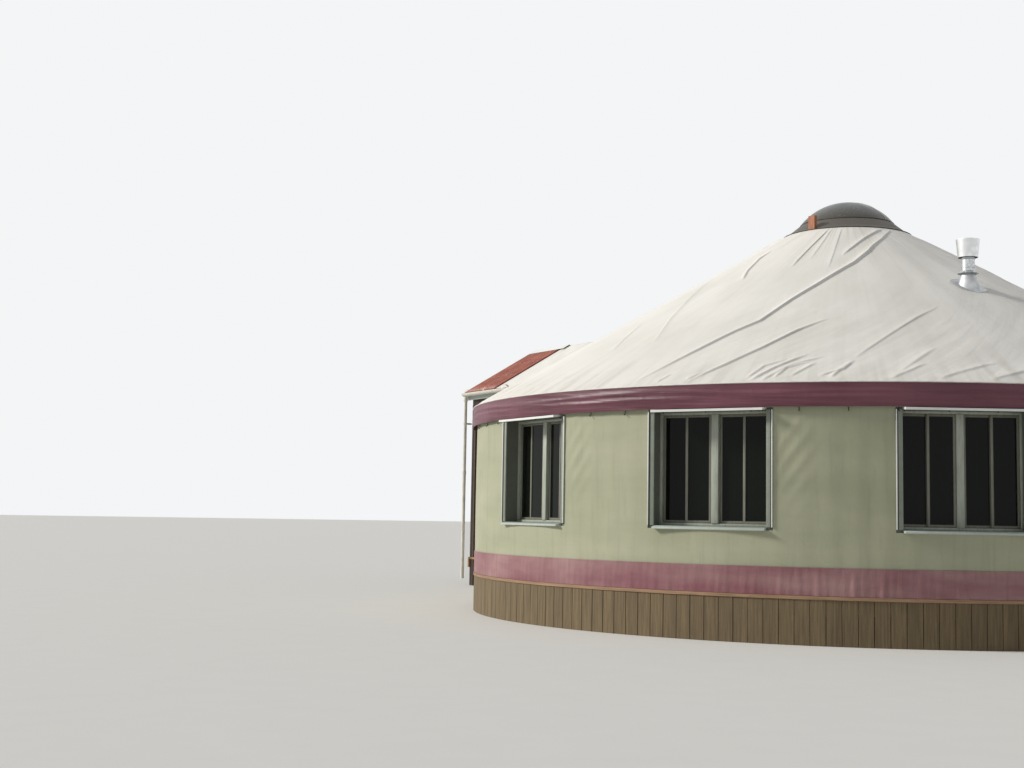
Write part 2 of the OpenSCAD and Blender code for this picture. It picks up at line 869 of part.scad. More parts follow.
// Five joists between two end joists
module porch_joists() {
    foot = porch_deck_top - plank_thickness - joist_depth;
    inner_y = -(wall_radius + 60);
    reach = post_offset - post_width / 2 - joist_width / 2 - 3;
    color(timber_color) for (row = [-1 : 0.5 : 1])
        translate([row * reach - joist_width / 2, deck_outer_y, foot])
            cube([joist_width, inner_y - deck_outer_y, joist_depth]);
    color(timber_color) for (y = [deck_outer_y, inner_y])
        translate([-deck_half, y, foot]) cube([2 * deck_half, plank_thickness, joist_depth]);
}

module porch_posts() {
    color(dark_color) both_sides() for (y = [outer_post_y, inner_post_y])
        translate([post_offset - post_width / 2, y - post_width / 2, 0])
            cube([post_width, post_width, porch_beam_foot]);
}

beam_tail = 80;

module eave_beam() {
    translate([post_offset - porch_beam_width / 2, outer_post_y - beam_tail, porch_beam_foot])
        cube([porch_beam_width, -outer_post_y, porch_beam_depth]);
}

ridge_beam_width = 60;
ridge_beam_top = porch_ridge_z + rafter_face / cos(porch_pitch);
ridge_beam_foot = ridge_beam_top - porch_beam_depth;

// Two eave beams and a ridge beam, cut where they meet the underside of the house's roof
module porch_beams() {
    color(dark_color) difference() {
        union() {
            both_sides() eave_beam();
            translate([-ridge_beam_width / 2, outer_post_y - beam_tail, ridge_beam_foot])
                cube([ridge_beam_width, -outer_post_y, porch_beam_depth - ridge_beam_width / 2]);
        }
        under_roof(2);
    }
}

truss_width = 90;
truss_depth = 140;

// At each pair of posts a tie beam and a post that carries the ridge beam
module porch_trusses() {
    span = post_offset - porch_beam_width / 2;
    color(dark_color) for (y = [outer_post_y, inner_post_y])
        translate([0, y - truss_width / 2, porch_beam_foot]) {
            translate([-span, 0, 0]) cube([2 * span, truss_width, truss_depth]);
            translate([-truss_width / 2, 0, 0])
                cube([truss_width, truss_width, ridge_beam_foot - porch_beam_foot]);
        }
}

ridge_face = ridge_beam_width / 2 + seat_gap;
ridge_end_y = -(eave_radius - (porch_ridge_z - eave_z) / tan(roof_pitch));

// Rafters as far as the ridge goes, cut by the ridge beam, the fascias and the house's roof
module porch_rafters() {
    outer_y = -(porch_reach - 60);
    color(timber_color) for (side = [-1, 1], y = [outer_y : porch_rafter_spacing : ridge_end_y]) {
        difference() {
            at_slope(side) slope_slab(0, porch_slope, y, y + porch_rafter_width,
                rafter_face - porch_rafter_depth, rafter_face);
            translate([side < 0 ? -ridge_face : ridge_face - far, -far / 2, 0]) cube([far, far, far]);
            both_sides() translate([fascia_x, -far, 0]) cube([far, far, far]);
            both_sides() eave_beam();
            under_roof(2);
        }
    }
}

board_run = (fascia_x + fascia_thickness) / cos(porch_pitch);

board_setback = 12;

module porch_boards() {
    color(frame_color) for (side = [-1, 1]) difference() {
        at_slope(side) slope_slab(0, board_run, -porch_reach + board_setback, 0,
            rafter_face, board_top);
        translate([side < 0 ? -seat_gap : -far + seat_gap, -far / 2, 0]) cube([far, far, far]);
        under_roof(2);
    }
}

membrane_lap = 60;
membrane_drip = 30;

// Membrane from under the corrugated sheets up to the cone, and a little over the fascias
module porch_membrane() {
    color(roof_color) for (side = [-1, 1]) difference() {
        at_slope(side) slope_slab(0, board_run + membrane_drip,
            -porch_reach + metal_length - membrane_lap, 0, board_top, layer_top);
        translate([side < 0 ? -seat_gap : -far + seat_gap, -far / 2, 0]) cube([far, far, far]);
        under_roof(2);
    }
}

// One edge of the corrugated profile: a cosine wave with eight points to a wave
function wave_line(z) = [for (i = [0 : 8 * round(metal_length / wave_pitch)])
    [i * wave_pitch / 8, z + wave_height / 2 * cos(i * 45)]];

metal_drop = 2;
metal_start = 12;

// Corrugated sheets whose waves run down the slope, from beside the ridge to the gutters
module porch_roofing() {
    points = concat(wave_line(-metal_thickness / 2), reversed(wave_line(metal_thickness / 2)));
    color(red_color) for (side = [-1, 1]) at_slope(side)
        translate([metal_start, -porch_reach, -metal_drop]) rotate([90, 0, 90])
            linear_extrude(porch_slope - metal_start) polygon(points);
}

ridge_cap_wing = 150;
ridge_cap_thickness = 3;
ridge_cap_overhang = 20;
ridge_cap_lap = 140;

// Folded cap that sits on the crests of both slopes
module porch_ridge_cap() {
    rise = (wave_height / 2 + metal_thickness / 2 - metal_drop) / cos(porch_pitch);
    length = ridge_cap_overhang + metal_length + ridge_cap_lap;
    edge = ridge_cap_wing * [cos(porch_pitch), -sin(porch_pitch)];
    raised = [0, ridge_cap_thickness];
    color("#eceeea") translate([0, -porch_reach - ridge_cap_overhang, porch_ridge_z + rise]) rotate([90, 0, 0])
        translate([0, 0, -length]) linear_extrude(length)
            polygon([[0, 0], edge, edge + raised, raised,
                [-edge[0], edge[1]] + raised, [-edge[0], edge[1]]]);
}

bargeboard_depth = 100;
fascia_depth = 100;

// Bargeboards along the gable and fascias behind the gutters
module porch_trim() {
    color(pale_color) {
        for (side = [-1, 1]) difference() {
            at_slope(side) slope_slab(0, porch_slope, -porch_reach - 24, -porch_reach - 1,
                rafter_face - bargeboard_depth, 6);
            translate([side < 0 ? 0 : -far, -far / 2, 0]) cube([far, far, far]);
        }
        both_sides() translate([fascia_x + seat_gap, -porch_reach, gutter_z - 20 - fascia_depth])
            cube([fascia_thickness - seat_gap, porch_reach + gutter_inner_y, fascia_depth]);
    }
}

// Half-round gutters with closed ends and a hole over each downspout
module porch_gutters() {
    length = gutter_inner_y - gutter_outer_y;
    color(pvc_color) both_sides() translate([gutter_x, gutter_inner_y, gutter_z])
        rotate([90, 0, 0]) difference() {
            cylinder(r = gutter_radius, h = length);
            translate([0, 0, gutter_thickness])
                cylinder(r = gutter_radius - gutter_thickness, h = length - 2 * gutter_thickness);
            translate([-far / 2, 0, -1]) cube([far, far, length + 2]);
            translate([0, 0, gutter_inner_y - downspout_y]) rotate([90, 0, 0])
                cylinder(d = downspout_diameter - 2 * gutter_thickness, h = 2 * gutter_radius);
        }
}

spout_foot = 120;
joint_z = floor_height + 1430;
bracket_z = floor_height + 2330;
bracket_size = 30;

// Pipes with a socket at the top, a joint half way and a bracket that holds each to its post
module porch_downspouts() {
    r = downspout_diameter / 2;
    top = gutter_z - gutter_radius;
    post_face = post_offset + post_width / 2;
    color(pvc_color) both_sides() translate([gutter_x, downspout_y, 0]) difference() {
        union() {
            translate([0, 0, spout_foot]) cylinder(r = r, h = top - spout_foot - seat_gap);
            translate([0, 0, top - 90]) cylinder(r = r + 6, h = 60);
            translate([0, 0, joint_z]) cylinder(r = r + 5, h = 60);
            translate([0, 0, bracket_z]) cylinder(r = r + 5, h = bracket_size);
            translate([post_face - gutter_x, -bracket_size / 2, bracket_z])
                cube([gutter_x - post_face, bracket_size, bracket_size]);
        }
        translate([0, 0, spout_foot - 1]) cylinder(r = r - gutter_thickness, h = far);
    }
}

side_panel_thickness = 40;

module porch_side_panels() {
    gap = 2;
    length = inner_post_y - outer_post_y - post_width - 2 * gap;
    color(pale_color) both_sides() translate([post_offset - side_panel_thickness / 2,
        outer_post_y + post_width / 2 + gap, porch_deck_top])
            cube([side_panel_thickness, length, side_panel_height]);
}

platform_deck();
platform_frame();
platform_piers();
skirting();
skirting_strip();
lattice_east();
lattice_north();
lattice_west();
lattice_southwest();
lattice_southeast();
tension_cable();
rafters_east();
rafters_west();
centre_ring();
window_bucks();
window_trim();
window_caps();
window_sashes();
window_glass();
door_frame();
door_leaf();
door_glass();
door_handle();
wall_cover_east();
wall_cover_west();
wall_cover_southwest();
wall_cover_southeast();
lower_band();
valance();
roof_cover();
dome_curb();
dome();
dome_clamp();
dome_block();
dome_tie();
stove_pipe();
pipe_flashing();
pipe_cap();
porch_deck();
porch_joists();
porch_posts();
porch_beams();
porch_trusses();
porch_rafters();
porch_boards();
porch_membrane();
porch_roofing();
porch_ridge_cap();
porch_trim();
porch_gutters();
porch_downspouts();
porch_side_panels();
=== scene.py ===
# %% [markdown]
# # A round fabric house in Blender
# The CAD model gives the true shapes: platform, lattice, rafters, window boxes, porch frame. This
# notebook gives them their finishes, and makes what a drawing office leaves plain: cloth with its
# folds and hems, boards with their edges, corrugated sheets, window units and small fittings.
# Everything is in metres, +Z is up, the house's axis is the Z axis and the porch points to -Y.

# %% Load the frame
import math
import random

import bpy
import numpy as np
from mathutils import Matrix, Vector


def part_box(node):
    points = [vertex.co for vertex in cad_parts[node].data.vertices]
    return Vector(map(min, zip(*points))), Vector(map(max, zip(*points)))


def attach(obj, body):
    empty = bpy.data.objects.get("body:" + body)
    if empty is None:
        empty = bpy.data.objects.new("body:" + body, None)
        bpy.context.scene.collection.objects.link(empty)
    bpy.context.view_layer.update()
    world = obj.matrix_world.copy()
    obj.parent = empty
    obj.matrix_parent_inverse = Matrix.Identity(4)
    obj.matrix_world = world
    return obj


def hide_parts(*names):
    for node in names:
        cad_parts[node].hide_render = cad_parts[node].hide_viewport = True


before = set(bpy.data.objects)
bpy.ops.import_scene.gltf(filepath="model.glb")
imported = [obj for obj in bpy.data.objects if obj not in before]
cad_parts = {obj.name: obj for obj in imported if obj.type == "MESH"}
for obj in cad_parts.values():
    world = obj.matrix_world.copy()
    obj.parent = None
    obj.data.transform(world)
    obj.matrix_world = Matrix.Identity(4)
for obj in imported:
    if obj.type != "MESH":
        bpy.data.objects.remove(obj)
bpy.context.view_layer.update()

print("nodes", len(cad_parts))

# %% [markdown]
# ## Sizes
# The CAD nodes say where the house is. A few sizes are needed again and again, so they are read
# from the nodes' boxes or written once here: the radius of the wall cloth, the eave, the heights
# of the window openings and the slope of the cone. A bearing is in degrees from +X towards +Y.

# %% Sizes
WALL_RADIUS = 5.030
EAVE_RADIUS = 5.085
ROOF_PITCH = math.radians(30)
HEM_Z, EAVE_Z = (corner.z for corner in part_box("valance"))
CLOTH_FOOT, BAND_TOP = (corner.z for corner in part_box("lower_band"))
WALL_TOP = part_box("wall_cover_east")[1].z
SILL_Z, HEAD_Z = (corner.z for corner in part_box("window_sashes"))
WINDOW_BEARINGS = [0, 30, 60, 120, 150, 180]
DOOR_BEARING = 270
print("eave", round(EAVE_Z, 3), "hem", round(HEM_Z, 3))
print("sill", round(SILL_Z, 3), "head", round(HEAD_Z, 3))


def roof_height(radius):
    """Height of the roof's outer face at a distance from the axis."""
    return EAVE_Z + (EAVE_RADIUS - radius) * math.tan(ROOF_PITCH)


def degrees_from(bearing, other):
    """How far a bearing is from another one, the short way round."""
    return (bearing - other + 180) % 360 - 180


# %% [markdown]
# ## Colours and nodes
# A colour is picked as sRGB hex, as in a paint program, and one function turns it to the linear
# values that shaders use. One small function adds any node, with its settings and its inputs, and
# gives back one of its outputs. Every material has a recipe, a function that reads from top to
# bottom as a list of such steps and gives back what goes into the shader's inputs.


# %% Colour and node tools
def linear(code):
    """The linear colour of an sRGB hex code."""
    parts = [int(code[i : i + 2], 16) / 255 for i in (1, 3, 5)]
    return (*[p / 12.92 if p <= 0.04045 else ((p + 0.055) / 1.055) ** 2.4 for p in parts], 1.0)


def add(tree, kind, inputs=None, out=0, **settings):
    """Adds one node with its settings, sets or links its inputs, and gives one output."""
    node = tree.nodes.new("ShaderNode" + kind)
    for name, value in settings.items():
        setattr(node, name, value)
    for name, value in (inputs or {}).items():
        if isinstance(value, bpy.types.NodeSocket):
            tree.links.new(value, node.inputs[name])
        else:
            node.inputs[name].default_value = value
    return node.outputs[out] if node.outputs else node


def new_material(name, recipe, *settings, **more):
    """A material. Its recipe adds nodes and gives what goes into the shader's inputs."""
    material = bpy.data.materials.new(name)
    material.use_nodes = True
    tree = material.node_tree
    tree.nodes.clear()
    shader = add(tree, "BsdfPrincipled", recipe(tree, *settings, **more))
    add(tree, "OutputMaterial", {"Surface": shader})
    return material


# Settings of a Mix node that mixes colours: its factor is input 0, its colours are 6 and 7
RGB = {"out": 2, "data_type": "RGBA"}
print("node tools made")

# %% [markdown]
# Three steps come in many recipes. A pattern drawn out to a length and a width is wood grain, a run
# of dirt or a crease. A colour that shows where a pattern is strong is wear or a stain. And pieces
# that go round the house want patterns that go round with them, so their coordinates are the way
# round in metres, the distance from the axis and the height.


# %% Steps of many recipes
def drawn_out(tree, place, size, detail, turn=(0, 0, 0), **more):
    """A pattern whose patches are that long, in metres, along each axis of the turned place."""
    place = add(tree, "Mapping", {"Vector": place, "Rotation": turn, "Scale": size},
                vector_type="TEXTURE")
    return add(tree, "TexNoise", {"Vector": place, "Scale": 1.0, "Detail": detail, **more})


def laid_over(tree, pattern, low, high, under, over, most=1.0):
    """A colour over another: none where the pattern is low, and its full share where it is high."""
    share = add(tree, "MapRange", {0: pattern, 1: low, 2: high, 3: 0.0, 4: most})
    under, over = (linear(code) if isinstance(code, str) else code for code in (under, over))
    return add(tree, "Mix", {0: share, 6: under, 7: over}, **RGB)


def round_place(tree, radius):
    """Way round in metres at that radius, distance from the axis, height."""
    x, y, z = add(tree, "SeparateXYZ", {0: add(tree, "TexCoord", out="Object")}).node.outputs
    angle = add(tree, "Math", {0: y, 1: x}, operation="ARCTAN2")
    around = add(tree, "Math", {0: angle, 1: radius}, operation="MULTIPLY")
    flat = add(tree, "CombineXYZ", {"X": x, "Y": y})
    away = add(tree, "VectorMath", {0: flat}, out="Value", operation="LENGTH")
    return add(tree, "CombineXYZ", {"X": around, "Y": away, "Z": z})


print("recipe steps made")

# %% [markdown]
# ## Small tools for pieces
# An operator acts on everything that is selected, so each step starts with nothing else selected.
# A piece ends with its place in its mesh, one material, its shading and a body to ride on.


# %% Selection and modes
def object_mode():
    """Back to object mode, which writes the edits into the mesh."""
    if bpy.context.object and bpy.context.object.mode != "OBJECT":
        bpy.ops.object.mode_set(mode="OBJECT")


def deselect():
    """Nothing selected, in object mode."""
    object_mode()
    bpy.ops.object.select_all(action="DESELECT")


def only(piece):
    """That piece alone selected and active."""
    deselect()
    piece.select_set(True)
    bpy.context.view_layer.objects.active = piece


def edit_all(piece):
    """Edit mode, with the whole piece selected."""
    only(piece)
    bpy.ops.object.mode_set(mode="EDIT")
    bpy.ops.mesh.select_all(action="SELECT")


def pick_faces(piece, chosen):
    """Selects faces of a piece by a list of true and false, and stays in edit mode."""
    only(piece)
    bpy.ops.object.mode_set(mode="EDIT")
    bpy.ops.mesh.select_mode(type="FACE")
    bpy.ops.mesh.select_all(action="DESELECT")
    bpy.ops.object.mode_set(mode="OBJECT")
    piece.data.polygons.foreach_set("select", np.asarray(chosen, dtype=bool))
    bpy.ops.object.mode_set(mode="EDIT")


def pick_side(piece, axis, sign=1):
    """Selects the faces that look along an axis or against it, and stays in edit mode."""
    pick_faces(piece, [polygon.normal[axis] * sign > 0.9 for polygon in piece.data.polygons])


print("selection tools made")


# %% Changes to a piece
def bake_place(piece):
    """The piece's place, turn and size go into its mesh."""
    only(piece)
    bpy.ops.object.transform_apply(location=True, rotation=True, scale=True)


def modify(piece, kind, **settings):
    """One modifier, added and applied."""
    only(piece)
    modifier = piece.modifiers.new(kind.title(), kind)
    for name, value in settings.items():
        setattr(modifier, name, value)
    bpy.ops.object.modifier_apply(modifier=modifier.name)


def bevel(piece, width, segments=2):
    """Rounds the piece's sharp edges."""
    modify(piece, "BEVEL", width=width, segments=segments, limit_method="ANGLE")


def weld(piece, distance):
    """Makes one point of points that lie closer than that."""
    edit_all(piece)
    bpy.ops.mesh.remove_doubles(threshold=distance)
    object_mode()


def face_outward(piece):
    """Turns all faces outward."""
    edit_all(piece)
    bpy.ops.mesh.normals_make_consistent(inside=False)
    object_mode()


print("change tools made")


# %% Copies and joins
def join(pieces, name):
    """Several pieces made one."""
    deselect()
    for piece in pieces:
        piece.select_set(True)
    bpy.context.view_layer.objects.active = pieces[0]
    if len(pieces) > 1:
        bpy.ops.object.join()
    pieces[0].name = pieces[0].data.name = name
    return pieces[0]


def copies(piece, matrices):
    """Copies of a finished piece, each with its own moved mesh. The piece itself goes."""
    made = []
    for matrix in matrices:
        mesh = piece.data.copy()
        mesh.transform(matrix)
        made.append(bpy.data.objects.new(piece.name, mesh))
        bpy.context.scene.collection.objects.link(made[-1])
    bpy.data.objects.remove(piece)
    return made


def turned(bearing):
    """The matrix that turns a piece round the house's axis."""
    return Matrix.Rotation(math.radians(bearing), 4, "Z")


print("copy tools made")


# %% The end of a piece, and its points
def done(piece, material, replaces=(), smooth=None):
    """A piece's last steps: material, shading, body, slot and the nodes that it stands for."""
    only(piece)
    piece.data.materials.clear()
    piece.data.materials.append(material)
    if smooth is None:
        bpy.ops.object.shade_smooth()
    else:
        bpy.ops.object.shade_smooth_by_angle(angle=math.radians(smooth))
    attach(piece, "root")
    if replaces:
        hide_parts(*replaces)
    deselect()
    size = [round(x, 3) for x in piece.dimensions]
    print(piece.name, "faces", len(piece.data.polygons), "size", size)
    return piece


def get_points(mesh):
    """The mesh's points as an array."""
    points = np.empty(len(mesh.vertices) * 3)
    mesh.vertices.foreach_get("co", points)
    return points.reshape(-1, 3)


def set_points(mesh, points):
    """Moves the mesh's points."""
    mesh.vertices.foreach_set("co", np.ascontiguousarray(points).ravel())
    mesh.update()


def face_centres(mesh):
    """The middles of the mesh's faces as an array."""
    centres = np.empty(len(mesh.polygons) * 3)
    mesh.polygons.foreach_get("center", centres)
    return centres.reshape(-1, 3)


print("piece tools made")


# %% Starting shapes
def named(name):
    """The piece that an operator has just added, with its name."""
    piece = bpy.context.object
    piece.name = piece.data.name = name
    return piece


def block(place, size):
    """A plain block round a place."""
    deselect()
    bpy.ops.mesh.primitive_cube_add(size=1, location=place)
    piece = bpy.context.object
    piece.scale = size
    bake_place(piece)
    return piece


def bar(low, high, width=0.003, segments=2):
    """A bar between two corners, with rounded edges."""
    piece = block([(a + b) / 2 for a, b in zip(low, high)], [b - a for a, b in zip(low, high)])
    bevel(piece, width, segments)
    return piece


def grid(name, columns, rows):
    """A grid, and where each of its points is across and up it, from 0 to 1."""
    deselect()
    bpy.ops.mesh.primitive_grid_add(x_subdivisions=columns, y_subdivisions=rows, size=1)
    piece = named(name)
    u, v = get_points(piece.data).T[:2] + 0.5
    return piece, u, v


def thin_ring(name, radius, half_width, sides, place):
    """A thin level ring round a place."""
    deselect()
    bpy.ops.mesh.primitive_torus_add(major_radius=radius, minor_radius=half_width,
                                     major_segments=sides, minor_segments=8, location=place)
    piece = named(name)
    bake_place(piece)
    return piece


print("starting shapes made")

# %% [markdown]
# ## Camera
# The camera comes first. Its place was worked out from the photograph: eye height 1.26 m, nearly
# 20 m from the house's axis, looking a little up, with a focal length of 50 mm on a 36 mm sensor.

# %% Camera
HEADING, TILT_UP, ROLL = (math.radians(a) for a in (239.87, 5.24, 1.0))
EYE = (13.67, 14.45, 1.263)
SENSOR, PICTURE_WIDTH, FOCAL_PIXELS = 36, 1024, 1427


def look(bearing, height):
    """The direction at a bearing and a height above level, both in radians."""
    level = math.cos(height)
    return Vector((level * math.cos(bearing), level * math.sin(bearing), math.sin(height)))


forward = look(HEADING, TILT_UP)
right = Vector((math.sin(HEADING), -math.cos(HEADING), 0))
up = right.cross(forward)
right, up = (math.cos(ROLL) * right + math.sin(ROLL) * up,
             -math.sin(ROLL) * right + math.cos(ROLL) * up)
camera_data = bpy.data.cameras.new("camera")
camera_data.sensor_width = SENSOR
camera_data.lens = FOCAL_PIXELS / PICTURE_WIDTH * SENSOR
camera_data.clip_end = 300
camera = bpy.data.objects.new("camera", camera_data)
camera.matrix_world = Matrix([(right[i], up[i], -forward[i], EYE[i]) for i in range(3)]
                             + [(0, 0, 0, 1)])
bpy.context.scene.collection.objects.link(camera)
bpy.context.scene.camera = camera
print("lens", round(camera_data.lens, 2))

# %% [markdown]
# ## Cloth
# Roof, wall and bands are the same kind of cloth: polyester canvas with an acrylic or vinyl
# coating. It could be drawn as one flat colour with a weave, but the eye reads coated canvas from
# its broad soft gloss, from the creases that its stiffness keeps, and from dirt that rain has
# carried downwards. So each cloth gets those three, at the sizes they have on such a house.


# %% Roof cloth
def coated_canvas_roof(tree, width, height):
    """Polyester canvas, acrylic coating, off-white. Width and height are the flat sheet's."""
    # The coating gives an even, slightly waxy light with no sparkle. Weather leaves grey washes
    # that run down the slope, darker under the curb and along the eave.
    flat = add(tree, "TexCoord", out="UV")
    metres = add(tree, "Mapping", {"Vector": flat, "Scale": (width, height, 1)})
    up_slope = add(tree, "SeparateXYZ", {0: metres}, out=1)
    blotches = add(tree, "TexNoise", {"Vector": metres, "Scale": 1.1, "Detail": 4.0})
    colour = laid_over(tree, blotches, 0.38, 0.72, "#ECE9E2", "#DCD9CF", 0.6)
    # Rain streaks are about 0.15 m wide and 2 m long
    streaks = drawn_out(tree, metres, (0.15, 2.0, 1), 4.0)
    streak = add(tree, "MapRange", {0: streaks, 1: 0.46, 2: 0.74})
    by_eave = add(tree, "MapRange", {0: up_slope, 1: 0.0, 2: 0.8, 3: 0.55, 4: 0.10})
    by_curb = add(tree, "MapRange", {0: up_slope, 1: 3.6, 2: 4.9, 3: 0.0, 4: 0.3})
    where = add(tree, "Math", {0: by_eave, 1: by_curb}, operation="ADD")
    dirt = add(tree, "Math", {0: streak, 1: where}, operation="MULTIPLY")
    colour = add(tree, "Mix", {0: dirt, 6: colour, 7: linear("#A8A293")}, **RGB)
    # Drawn coarser: the weave is 0.5 mm, and 6 mm is the finest that shows from the camera
    weave = add(tree, "TexNoise", {"Vector": metres, "Scale": 165.0, "Detail": 1.0})
    normal = add(tree, "Bump", {"Height": weave, "Distance": 0.0006})
    # Tension wrinkles lie along the folds, which climb 41 degrees in the flat cloth. They fade
    # out towards the curb, where the cloth is pulled flat.
    slack = add(tree, "MapRange", {0: up_slope, 1: 0.2, 2: 3.4, 3: 1.0, 4: 0.05})
    for turn, size, detail, depth in ((41, (1.5, 0.30, 1), 1.0, 0.022),
                                      (47, (0.6, 0.07, 1), 2.0, 0.004)):
        wrinkles = drawn_out(tree, metres, size, detail, (0, 0, math.radians(turn)))
        wrinkles = add(tree, "Math", {0: wrinkles, 1: slack}, operation="MULTIPLY")
        normal = add(tree, "Bump", {"Height": wrinkles, "Distance": depth, "Normal": normal})
    return {"Base Color": colour, "Roughness": 0.55, "Normal": normal}


roof_cloth = new_material("coated_canvas_off_white", coated_canvas_roof, 31.9, 5.1)
hem_cloth = new_material("coated_canvas_hem", coated_canvas_roof, 31.9, 0.05)
porch_cloth = new_material("coated_canvas_porch", coated_canvas_roof, 5.0, 1.7)
print(roof_cloth.name, hem_cloth.name, porch_cloth.name)


# %% Band and wall cloth
def coated_canvas(tree, main, worn, stain, soil, gloss, wrinkle_size, wrinkle_turn, wrinkle_depth):
    """Coated canvas that stands upright. Sizes and turns are in the plane of the wall."""
    round_it = round_place(tree, WALL_RADIUS)
    flat = add(tree, "VectorMath", {0: round_it, 1: (1, 0, 1)}, operation="MULTIPLY")
    fading = drawn_out(tree, flat, (1.2, 1, 0.35), 5.0)
    colour = laid_over(tree, fading, 0.36, 0.68, main, worn, 0.8)
    # Runs of dirt are about 60 mm wide and 0.6 m long
    runs = drawn_out(tree, flat, (0.06, 1, 0.6), 4.0)
    colour = laid_over(tree, runs, 0.52, 0.80, colour, stain, soil)
    # Drawn coarser: the weave is 0.5 mm, and 5 mm is the finest that shows
    weave = add(tree, "TexNoise", {"Vector": flat, "Scale": 200.0, "Detail": 1.0})
    normal = add(tree, "Bump", {"Height": weave, "Distance": 0.0005})
    creases = drawn_out(tree, flat, wrinkle_size, 3.0, (0, math.radians(wrinkle_turn), 0))
    normal = add(tree, "Bump", {"Height": creases, "Distance": wrinkle_depth, "Normal": normal})
    return {"Base Color": colour, "Roughness": gloss, "Normal": normal}


# Sage canvas is matt and chalky: sun has bleached it in soft patches, and creases show only
# where light grazes it
wall_cloth = new_material("coated_canvas_sage", coated_canvas, "#A1A388", "#B2B298", "#8A8B74",
                          0.35, 0.7, (1.0, 1, 0.3), 38, 0.006)
# The valance is vinyl coated, so each long fold carries a soft highlight along its top
valance_cloth = new_material("coated_canvas_burgundy", coated_canvas, "#5B2C39", "#7A4654",
                             "#41202B", 0.12, 0.46, (1.1, 1, 0.07), 2, 0.014)
# The band at the foot has chalked to a dusty pink, most where sun and rain reach it
band_cloth = new_material("coated_canvas_burgundy_chalked", coated_canvas, "#84525A", "#AC8A87",
                          "#77554E", 0.5, 0.62, (0.09, 1, 0.4), 4, 0.008)
print(wall_cloth.name, valance_cloth.name, band_cloth.name)

# %% [markdown]
# ## Wood
# Softwood shows its grain as streaks along the piece, some twenty times as long as they are wide,
# because a board is cut along the tree's rings. The pattern is noise drawn out along the piece, so
# each recipe is told which way its piece runs: round the house, up, along the porch, or outwards.


# %% Softwood
def softwood(tree, pale, dark, grain_size, is_round=False, gloss=0.55, board=None):
    """Softwood with its grain drawn out. board gives the axis and width of boards in one piece."""
    place = round_place(tree, WALL_RADIUS) if is_round else add(tree, "TexCoord", out="Object")
    drawn = add(tree, "Mapping", {"Vector": place, "Scale": grain_size}, vector_type="TEXTURE")
    grain = add(tree, "TexNoise", {"Vector": drawn, "Scale": 1.0, "Detail": 5.0, "Roughness": 0.65})
    broad = add(tree, "TexNoise", {"Vector": drawn, "Scale": 0.12, "Detail": 3.0})
    colour = laid_over(tree, grain, 0.32, 0.70, pale, dark)
    colour = laid_over(tree, broad, 0.35, 0.75, colour, dark, 0.5)
    height = grain
    if board:
        # Dark gaps where one board ends and the next starts
        axis, width = board
        across = add(tree, "SeparateXYZ", {0: place}, out=axis)
        counted = add(tree, "Math", {0: across, 1: width}, operation="DIVIDE")
        part = add(tree, "Math", {0: counted}, operation="FRACT")
        centred = add(tree, "Math", {0: part, 1: 0.5}, operation="SUBTRACT")
        off = add(tree, "Math", {0: centred}, operation="ABSOLUTE")
        gap = add(tree, "MapRange", {0: off, 1: 0.470, 2: 0.485})
        colour = add(tree, "Mix", {0: gap, 6: colour, 7: linear("#2A2018")}, **RGB)
        height = add(tree, "Math", {0: gap, 1: -6.0, 2: grain}, operation="MULTIPLY_ADD")
    normal = add(tree, "Bump", {"Height": height, "Distance": 0.001})
    return {"Base Color": colour, "Roughness": gloss, "Normal": normal}


# Planed pine, varnished: warm honey with brown late wood and a satin light. Its grain is drawn
# 14 mm wide, where the real one has 2 to 6 mm, so that it shows.
ROUND_IT, UPWARD, ALONG_Y = (0.30, 0.014, 0.014), (0.014, 0.014, 0.30), (0.014, 0.30, 0.014)
ACROSS_PORCH, ALONG_BOARD = (0.35, 0.014, 0.014), (0.014, 0.35, 0.014)
HONEY = ("#C9A473", "#A67B4C")
pine_round = new_material("pine_varnished_round", softwood, *HONEY, ROUND_IT, True)
pine_upright = new_material("pine_varnished_upright", softwood, *HONEY, UPWARD)
pine_radial = new_material("pine_varnished_radial", softwood, *HONEY, ALONG_Y, True)
pine_lengthways = new_material("pine_planed_lengthways", softwood, "#BE9566", "#946B40", ALONG_Y,
                               gloss=0.62)
deck_pine = new_material("pine_deck_boards", softwood, "#B39368", "#86683F", ACROSS_PORCH,
                         gloss=0.7)
pine_slats = new_material("pine_planed_slats", softwood, "#CFAC7D", "#B08A5C", (0.016, 0.016, 0.05))
pine_floor = new_material("pine_floor_boards", softwood, "#C9A677", "#A37C4B", ALONG_BOARD,
                          board=(0, 0.14))
pine_ceiling = new_material("pine_ceiling_boards", softwood, "#B6905F", "#8E6840", ALONG_BOARD,
                            board=(0, 0.12))
# Fir stained dark brown: the stain fills the pores, so the grain is a faint dark ripple
stained_post, stained_beam, stained_tie = (
    new_material("fir_stained_" + way, softwood, "#55402F", "#2F241B", grain_size, gloss=0.5)
    for way, grain_size in (("upright", (0.012, 0.012, 0.25)), ("lengthways", (0.012, 0.25, 0.012)),
                            ("across", (0.25, 0.012, 0.012))))
# Rough cedar left to the weather: dry, without any shine, grey over brown
skirting_wood = new_material("cedar_rough_weathered", softwood, "#857355", "#5C4F3B",
                             (0.02, 0.02, 0.45), True, 0.85)
strip_wood = new_material("cedar_oiled_strip", softwood, "#B18F6F", "#83644B",
                          (0.30, 0.015, 0.015), True, 0.6)
block_wood = new_material("redwood_block", softwood, "#C68C6A", "#9C5D40", (0.02, 0.02, 0.2),
                          gloss=0.7)
print("woods made")

# %% [markdown]
# ## Paint, metal, plastic and glass
# Paint hides the grain but keeps brush marks, sheet metal carries its finish as baked enamel or as
# zinc, and vinyl is smooth and dulls evenly. Each has its own recipe, because what tells them apart
# is not their colour but how their gloss breaks up.


